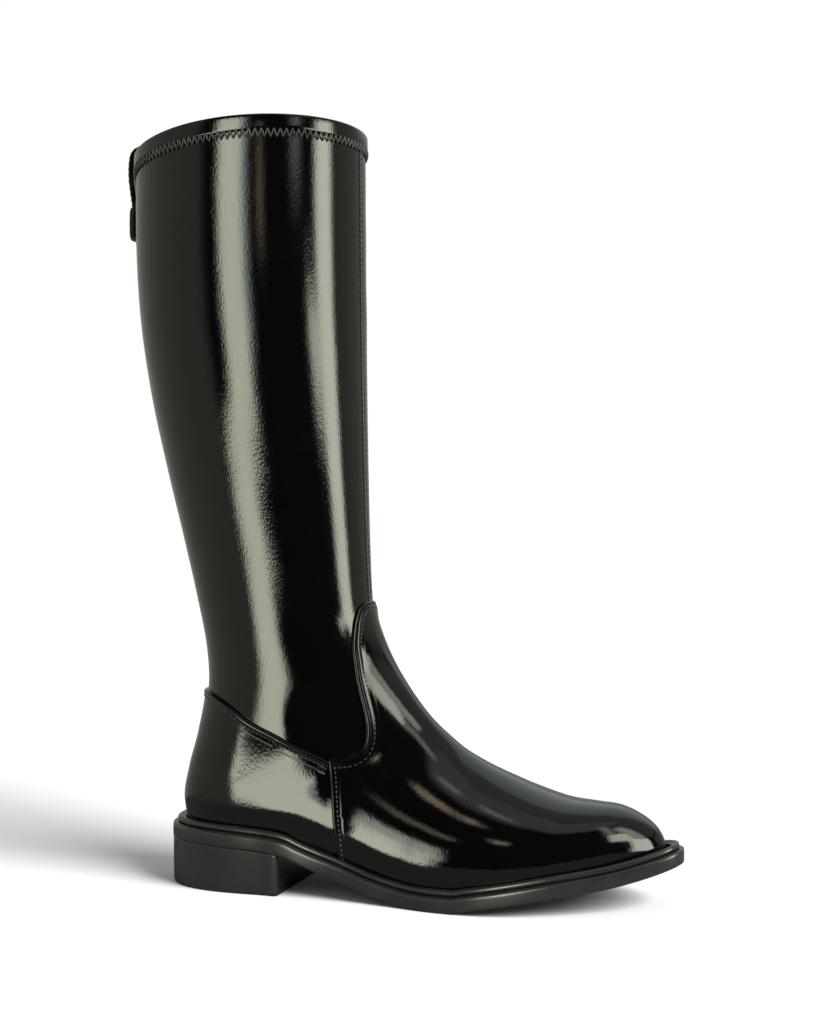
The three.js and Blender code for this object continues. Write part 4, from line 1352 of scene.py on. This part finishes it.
class BOOT_OT_strap(bpy.types.Operator):
    """Pull strap at the back of the collar, with its tab and stud"""

    bl_idname = "boot.strap"
    bl_label = "Pull strap"

    def execute(self, context):
        low, high = (np.array(c) * 1000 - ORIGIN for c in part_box("pull_strap"))
        rim_z = float(rim(SECTIONS[0][2])) + 0.3
        back, inner = STRAP_BACK, high[0] - 1.1
        line = [
            (inner, -13.5), (inner, -6), (inner - 0.2, 1.5), (inner - 1.4, 6.6),
            ((inner + back) / 2, 9.3), (back + 1.4, 7.0), (back + 0.1, 1.5), (back, -6),
            (back + 0.9, -14), (back + 2.0, -21), (back + 2.3, -26),
        ]
        path = curve_through([(x, rim_z + up) for x, up in line], 9)
        d = unit(np.gradient(path, axis=0))
        side = np.column_stack([-d[:, 1], d[:, 0]])
        rings = []
        for q in np.linspace(0, 2 * math.pi, 28, endpoint=False):
            c, w = math.cos(q), math.sin(q)
            y = math.copysign(abs(c) ** 0.28, c) * STRAP_HALF
            h = math.copysign(abs(w) ** 0.75, w) * STRAP_THICK / 2
            # the middle dips between the two rows of stitches
            if abs(y) < STRAP_HALF - 1.9 and abs(h) > 0.2:
                h *= 0.84
            x, z = (path + side * h).T
            rings.append(np.column_stack([x, np.full(len(path), y), z]))
        strap = stacked("pull_strap_loop", np.stack(rings, 1))
        finish_piece(strap, patent("Smooth Patent"))
        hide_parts("pull_strap")
        middle_z = low[2] + 10.0
        tab = rounded_tab(low[0] - 0.3, low[0] + 7.0, middle_z, 1.7)
        finish_piece(tab, patent("Smooth Patent"))
        starts, ends, ups = tab_stitches(low[0] - 0.02, middle_z)
        face = path - side * (STRAP_THICK / 2)
        for y in (1.5 - STRAP_HALF, STRAP_HALF - 1.5):
            for k in range(0, len(path) - 6, 4):
                if path[k, 1] < rim_z - 3 and k < len(path) / 2:
                    continue
                for places, p in ((starts, face[k]), (ends, face[k + 3])):
                    places.append((p[0], y, p[1]))
                ups.append((-side[k, 0], 0, -side[k, 1]))
        finish_piece(threads("strap_stitches", starts, ends, ups, 0.24), thread())
        profile = [
            (0.0, 1.15), (1.2, 1.1), (2.2, 0.96), (2.9, 0.8), (3.15, 0.62), (3.3, 0.66),
            (3.7, 0.7), (4.2, 0.62), (4.5, 0.42), (4.6, 0.15), (4.55, 0.0), (0.0, 0.0),
        ]
        turns = 48
        q = 2 * math.pi * np.arange(turns) / turns
        rings = []
        for r, h in profile:
            x = np.full(turns, low[0] - 0.1 - h)
            rings.append(np.column_stack([x, r * np.cos(q), middle_z + r * np.sin(q)]))
        stud = outward(new_object("snap_stud", rings, grid_faces(len(profile), turns, True)))
        finish_piece(stud, metal())
        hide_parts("stud")
        return {"FINISHED"}


# Stitches round the tab, on its rear face
def tab_stitches(x, middle_z):
    starts, ends, ups = [], [], []
    corners = np.array([(-4.2, 8.2), (4.2, 8.2), (4.2, -8.2), (-4.2, -8.2)])
    for one, two in zip(corners, np.roll(corners, -1, 0)):
        count = int(math.hypot(*(two - one)) // 2.4)
        for i in range(count):
            for places, share in ((starts, 0.15), (ends, 0.85)):
                y, z = one + (two - one) * (i + share) / count
                places.append((x, y, middle_z + z))
            ups.append((-1.0, 0.0, 0.0))
    return starts, ends, ups


# The tab: a doubled end, nearly a rectangle in Y and Z, with edges rolled front and back
def rounded_tab(back, front, middle_z, roll):
    q = np.linspace(0, 2 * math.pi, 72, endpoint=False)
    y, z = (np.sign(v) * np.abs(v) ** 0.4 for v in (np.cos(q), np.sin(q)))
    arc = np.linspace(0, math.pi / 2, 7)
    rolled = np.column_stack([roll * (1 - np.cos(arc)), roll * (1 - np.sin(arc))])
    rows = [(back, roll * 1.6)]
    rows += [(back + depth, inset) for depth, inset in rolled]
    rows += [(front - depth, inset) for depth, inset in rolled[::-1]]
    rings = []
    for x, inset in rows:
        up = middle_z + z * (TAB_HALF - inset)
        rings.append(np.column_stack([np.full(len(q), x), y * (STRAP_HALF - inset), up]))
    return stacked("pull_strap_tab", rings)


class BOOT_OT_bottom(bpy.types.Operator):
    """Welt, outsole, heel and insole"""

    bl_idname = "boot.bottom"
    bl_label = "Bottom"

    def execute(self, context):
        t = SOLE_THICKNESS
        side = [
            (2.2, 0.0), (0.45, 0.04), (0.16, 0.2), (0.03, 0.5), (0.0, 1.6), (0.0, t - 2.2),
            (0.05, t - 1.3), (0.25, t - 0.6), (0.7, t - 0.2), (1.4, t - 0.02), (2.2, t), (6.0, t),
        ]
        sole = ring_stack("sole", side, underside, cap=True)
        finish_piece(sole, moulded_rubber())
        add_tread(sole)
        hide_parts("outsole")
        bead = [
            (6.6, 0.1), (3.2, 0.1), (2.75, 0.35), (2.5, 0.9), (2.45, 1.6), (2.6, 2.4),
            (3.0, 3.0), (3.6, 3.35), (4.2, 3.4), (4.8, 3.2), (5.2, 2.8), (5.5, 2.5), (6.6, 2.3),
        ]
        welt = ring_stack("welt_bead", bead, seat)
        finish_piece(welt, moulded_rubber())
        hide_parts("welt")
        heel = heel_block()
        finish_piece(heel, moulded_rubber())
        add_tread(heel)
        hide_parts("heel")
        inner = [(11.4, 0.6), (11.4, 3.0), (11.7, 3.4), (12.6, 3.55)]
        sock = ring_stack("insole_sock", inner, seat, cap=True)
        pad = woven(
            "Insole Leather", context.scene.boot_finish.lining_colour, (0.22, 0.17, 0.12),
            2600, 2e-5, 0.6,
        )
        finish_piece(sock, pad)
        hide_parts("insole")
        return {"FINISHED"}


# Ribs on what faces the ground
def add_tread(obj):
    obj.data.materials.append(tread_rubber())
    for f in obj.data.polygons:
        if f.normal.z < -0.85:
            f.material_index = 1


# The heel: the sole's outline behind the breast, with rounded breast corners.
# Rows are the inset, the share of the underside's height and the height over it
def heel_block():
    rows = [
        (4.0, 0, 0.0), (1.5, 0, 0.0), (0.95, 0, 0.15), (0.6, 0, 0.6), (0.5, 0, 1.4),
        (0.42, 0, 6.0), (0.3, 0, 12.0), (0.24, 1, -3.0), (0.24, 1, -1.0), (0.24, 1, -0.4),
        (0.5, 1, -0.1), (4.0, 1, -0.1),
    ]
    r = 1.6
    q = np.linspace(0.1, math.pi / 2, 6)
    rings = []
    for inset, share, up in rows:
        xy = sole_ring(inset)
        breast = HEEL_LENGTH - 0.4 - min(inset, 1.2) * 0.6
        k = len(xy) // 2
        outer, inner = (half[half[:, 0] < breast - r] for half in (xy[:k], xy[k:]))
        y0, y1 = outer[-1, 1], inner[0, 1]
        corners = []
        for y in (y0, y1):
            rounded = y - math.copysign(r, y) * (1 - np.cos(q))
            corners.append(np.column_stack([breast - r + r * np.sin(q), rounded]))
        u = np.linspace(0.08, 0.92, 10)
        y = y0 + math.copysign(r, -y0) + (y1 - y0 - 2 * math.copysign(r, y1)) * u
        across = np.column_stack([np.full(len(u), breast), y])
        loop = spaced(np.vstack([outer, corners[0], across, corners[1][::-1], inner]), 260)
        rings.append(np.column_stack([loop, share * underside(loop[:, 0]) + up]))
    return stacked("heel_block", rings)


# A far, clear shell that glows only where the rows say, and shines only on the pieces given
def light_panel(name, rows, pieces, centre, distance):
    turn = np.arange(-75, 100, 0.75)
    rise = np.arange(-42, 84, 0.75)
    t, r = np.meshgrid(turn, rise, indexing="ij")
    glow = np.zeros((*t.shape, 3))
    for middle, half, soft, low, high, up_soft, lean, lean_from, lean_to, colour in rows:
        middle = middle + lean * (1 - ease(r, lean_to, lean_from)) if lean else middle
        mask = 1 - ease(np.abs(t - middle), half - soft / 2, half + soft / 2)
        mask = mask * ease(r, low - up_soft / 2, low + up_soft / 2)
        mask = mask * (1 - ease(r, high - up_soft / 2, high + up_soft / 2))
        glow = np.maximum(glow, mask[..., None] * np.array(colour))
    az = np.radians(t)
    el = np.radians(r)
    c, s = math.cos(CAMERA_TURN), math.sin(CAMERA_TURN)
    side = np.sin(az) * np.cos(el)
    near = np.cos(az) * np.cos(el)
    way = np.stack([side * c + near * s, side * s - near * c, np.sin(el)], -1)
    points = (np.array(centre) + way * distance).reshape(-1, 3)
    faces = grid_faces(*t.shape)
    glow = glow.reshape(-1, 3)
    faces = faces[(glow.max(1) > 1e-4)[faces].any(1)]
    used = np.unique(faces)
    number = np.full(len(points), -1)
    number[used] = np.arange(len(used))
    mesh = bpy.data.meshes.new(name)
    mesh.from_pydata(points[used].tolist(), [], number[faces].tolist())
    values = np.ones((len(used), 4), np.float32)
    values[:, :3] = glow[used]
    layer = mesh.attributes.new("Glow", "FLOAT_COLOR", "POINT")
    layer.data.foreach_set("color", values.ravel())
    obj = bpy.data.objects.new(name, mesh)
    bpy.context.scene.collection.objects.link(obj)
    mesh.materials.append(panel_material())
    obj.visible_camera = False
    obj.visible_diffuse = False
    obj.visible_shadow = False
    obj.visible_transmission = False
    obj.visible_volume_scatter = False
    group = bpy.data.collections.new(name + "_pieces")
    for piece in pieces:
        group.objects.link(bpy.data.objects[piece])
    obj.light_linking.receiver_collection = group
    return obj


def panel_material():
    def build(t):
        glow = t.add("ShaderNodeAttribute", attribute_name="Glow")
        light = t.add("ShaderNodeEmission", {"Color": glow.outputs["Color"]})
        clear = t.add("ShaderNodeBsdfTransparent")
        return t.add("ShaderNodeAddShader", {0: light.outputs[0], 1: clear.outputs[0]})

    return made_once("Light Panel", build)


def gloss_world():
    world = bpy.data.worlds.new("Studio")
    world.use_nodes = True
    world.node_tree.nodes.clear()
    t = Tree(world.node_tree)
    x, y, z = t.apart(t.place("Generated"))
    c, s = math.cos(CAMERA_TURN), math.sin(CAMERA_TURN)
    right = t.math("ADD", t.math("MULTIPLY", x, c), t.math("MULTIPLY", y, s))
    near = t.math("SUBTRACT", t.math("MULTIPLY", x, s), t.math("MULTIPLY", y, c))
    turn = t.math("MULTIPLY", t.math("ARCTAN2", right, near), 180 / math.pi)
    rise = t.math("MULTIPLY", t.math("ARCSINE", z), 180 / math.pi)
    total = None
    for centre, half, soft, low, high, up_soft, colour in ROOM_ROWS:
        off = t.math("WRAP", t.math("SUBTRACT", turn, centre), 180.0, -180.0)
        across = t.ramp(t.math("ABSOLUTE", off), half - soft / 2, half + soft / 2, 1.0, 0.0)
        above = t.ramp(rise, low - up_soft / 2, low + up_soft / 2)
        under = t.ramp(rise, high - up_soft / 2, high + up_soft / 2, 1.0, 0.0)
        mask = t.math("MULTIPLY", t.math("MULTIPLY", across, above), under)
        one = t.mix(mask, (0, 0, 0), colour)
        if total:
            more = t.add("ShaderNodeVectorMath", {0: total, 1: one}, operation="MAXIMUM")
            one = more.outputs[0]
        total = one
    ways = t.add("ShaderNodeLightPath").outputs
    gloss = t.add("ShaderNodeBackground", {"Color": total})
    seen = t.math("MULTIPLY", ways["Is Camera Ray"], 1 - AMBIENT)
    strength = t.math("ADD", seen, AMBIENT)
    plain = t.add("ShaderNodeBackground", {"Color": (1, 1, 1, 1), "Strength": strength})
    both = t.pick(ways["Is Glossy Ray"], plain, gloss)
    t.add("ShaderNodeOutputWorld", {"Surface": both.outputs[0]})
    bpy.context.scene.world = world


# Pale paint that catches the shadow, dim in the gloss and gone from it further out
def floor_material():
    def build(t):
        paint = t.add("ShaderNodeBsdfDiffuse", {"Color": (*FLOOR_PAINT, 1)})
        dim = t.add("ShaderNodeBsdfDiffuse", {"Color": (*FLOOR_IN_GLOSS, 1)})
        place = t.apart(t.place())
        x, y = (t.math("MULTIPLY", place[k], 1 / FLOOR_SEEN[k]) for k in range(2))
        far = t.math("ADD", t.math("MULTIPLY", x, x), t.math("MULTIPLY", y, y))
        beyond = t.ramp(t.math("SQRT", far), 0.85, 1.1)
        glossy = t.add("ShaderNodeLightPath").outputs["Is Glossy Ray"]
        seen = t.pick(glossy, paint, dim)
        clear = t.add("ShaderNodeBsdfTransparent")
        return t.pick(t.math("MULTIPLY", beyond, glossy), seen, clear)

    return made_once("Pale Floor", build)


class BOOT_OT_stage(bpy.types.Operator):
    """Floor, light and the camera"""

    bl_idname = "boot.stage"
    bl_label = "Stage"

    def execute(self, context):
        scene = context.scene
        mesh = bpy.data.meshes.new("floor")
        size = FLOOR_SIZE
        corners = [(-size, -size, 0), (size, -size, 0), (size, size, 0), (-size, size, 0)]
        mesh.from_pydata(corners, [], [(0, 1, 2, 3)])
        floor = bpy.data.objects.new("floor", mesh)
        floor.location = (0, 0, -0.0002)
        mesh.materials.append(floor_material())
        scene.collection.objects.link(floor)
        gloss_world()
        for name, pieces, centre, further in LIGHT_GROUPS:
            distance = PANEL_DISTANCE + further
            light_panel("panel_" + name, PANEL_ROWS[name], pieces, centre, distance)
        lamp = bpy.data.lights.new("key", "SUN")
        lamp.angle = KEY_SPREAD
        lamp.energy = KEY_STRENGTH
        lamp_obj = bpy.data.objects.new("key", lamp)
        lamp_obj.rotation_euler = (KEY_TILT, 0, CAMERA_TURN + KEY_TURN)
        lamp_obj.visible_glossy = False
        scene.collection.objects.link(lamp_obj)
        data = bpy.data.cameras.new("camera")
        camera = bpy.data.objects.new("camera", data)
        data.sensor_width = 36
        data.lens = CAMERA_LENS * CAMERA_ZOOM
        camera.location = (np.array(CAMERA_PLACE) + ORIGIN) / 1000
        camera.rotation_euler = (math.pi / 2, 0, CAMERA_TURN)
        data.shift_x, data.shift_y = CAMERA_SHIFT
        data.clip_start = 0.01
        scene.collection.objects.link(camera)
        scene.camera = camera
        scene.view_settings.view_transform = "Standard"
        return {"FINISHED"}


class BOOT_PT_panel(bpy.types.Panel):
    bl_label = "Patent Knee Boot"
    bl_idname = "BOOT_PT_panel"
    bl_space_type = "VIEW_3D"
    bl_region_type = "UI"
    bl_category = "Boot"

    def draw(self, context):
        column = self.layout.column()
        for group in (context.scene.boot_finish, context.scene.boot_sizes):
            for name in group.__annotations__:
                column.prop(group, name)
        for operator in OPERATORS:
            column.operator(operator.bl_idname)


OPERATORS = (
    BOOT_OT_leg, BOOT_OT_panels, BOOT_OT_hem, BOOT_OT_stitching, BOOT_OT_zip,
    BOOT_OT_strap, BOOT_OT_bottom, BOOT_OT_stage,
)
CLASSES = (BootFinish, BootSizes, *OPERATORS, BOOT_PT_panel)


def register():
    for one in CLASSES:
        bpy.utils.register_class(one)
    bpy.types.Scene.boot_finish = bpy.props.PointerProperty(type=BootFinish)
    bpy.types.Scene.boot_sizes = bpy.props.PointerProperty(type=BootSizes)


def unregister():
    del bpy.types.Scene.boot_sizes
    del bpy.types.Scene.boot_finish
    for one in reversed(CLASSES):
        bpy.utils.unregister_class(one)


def main():
    register()
    bpy.ops.boot.leg()
    bpy.ops.boot.panels()
    bpy.ops.boot.hem()
    bpy.ops.boot.stitching()
    bpy.ops.boot.zip()
    bpy.ops.boot.strap()
    bpy.ops.boot.bottom()
    bpy.ops.boot.stage()
    bpy.context.view_layer.update()


if __name__ == "__main__":
    main()
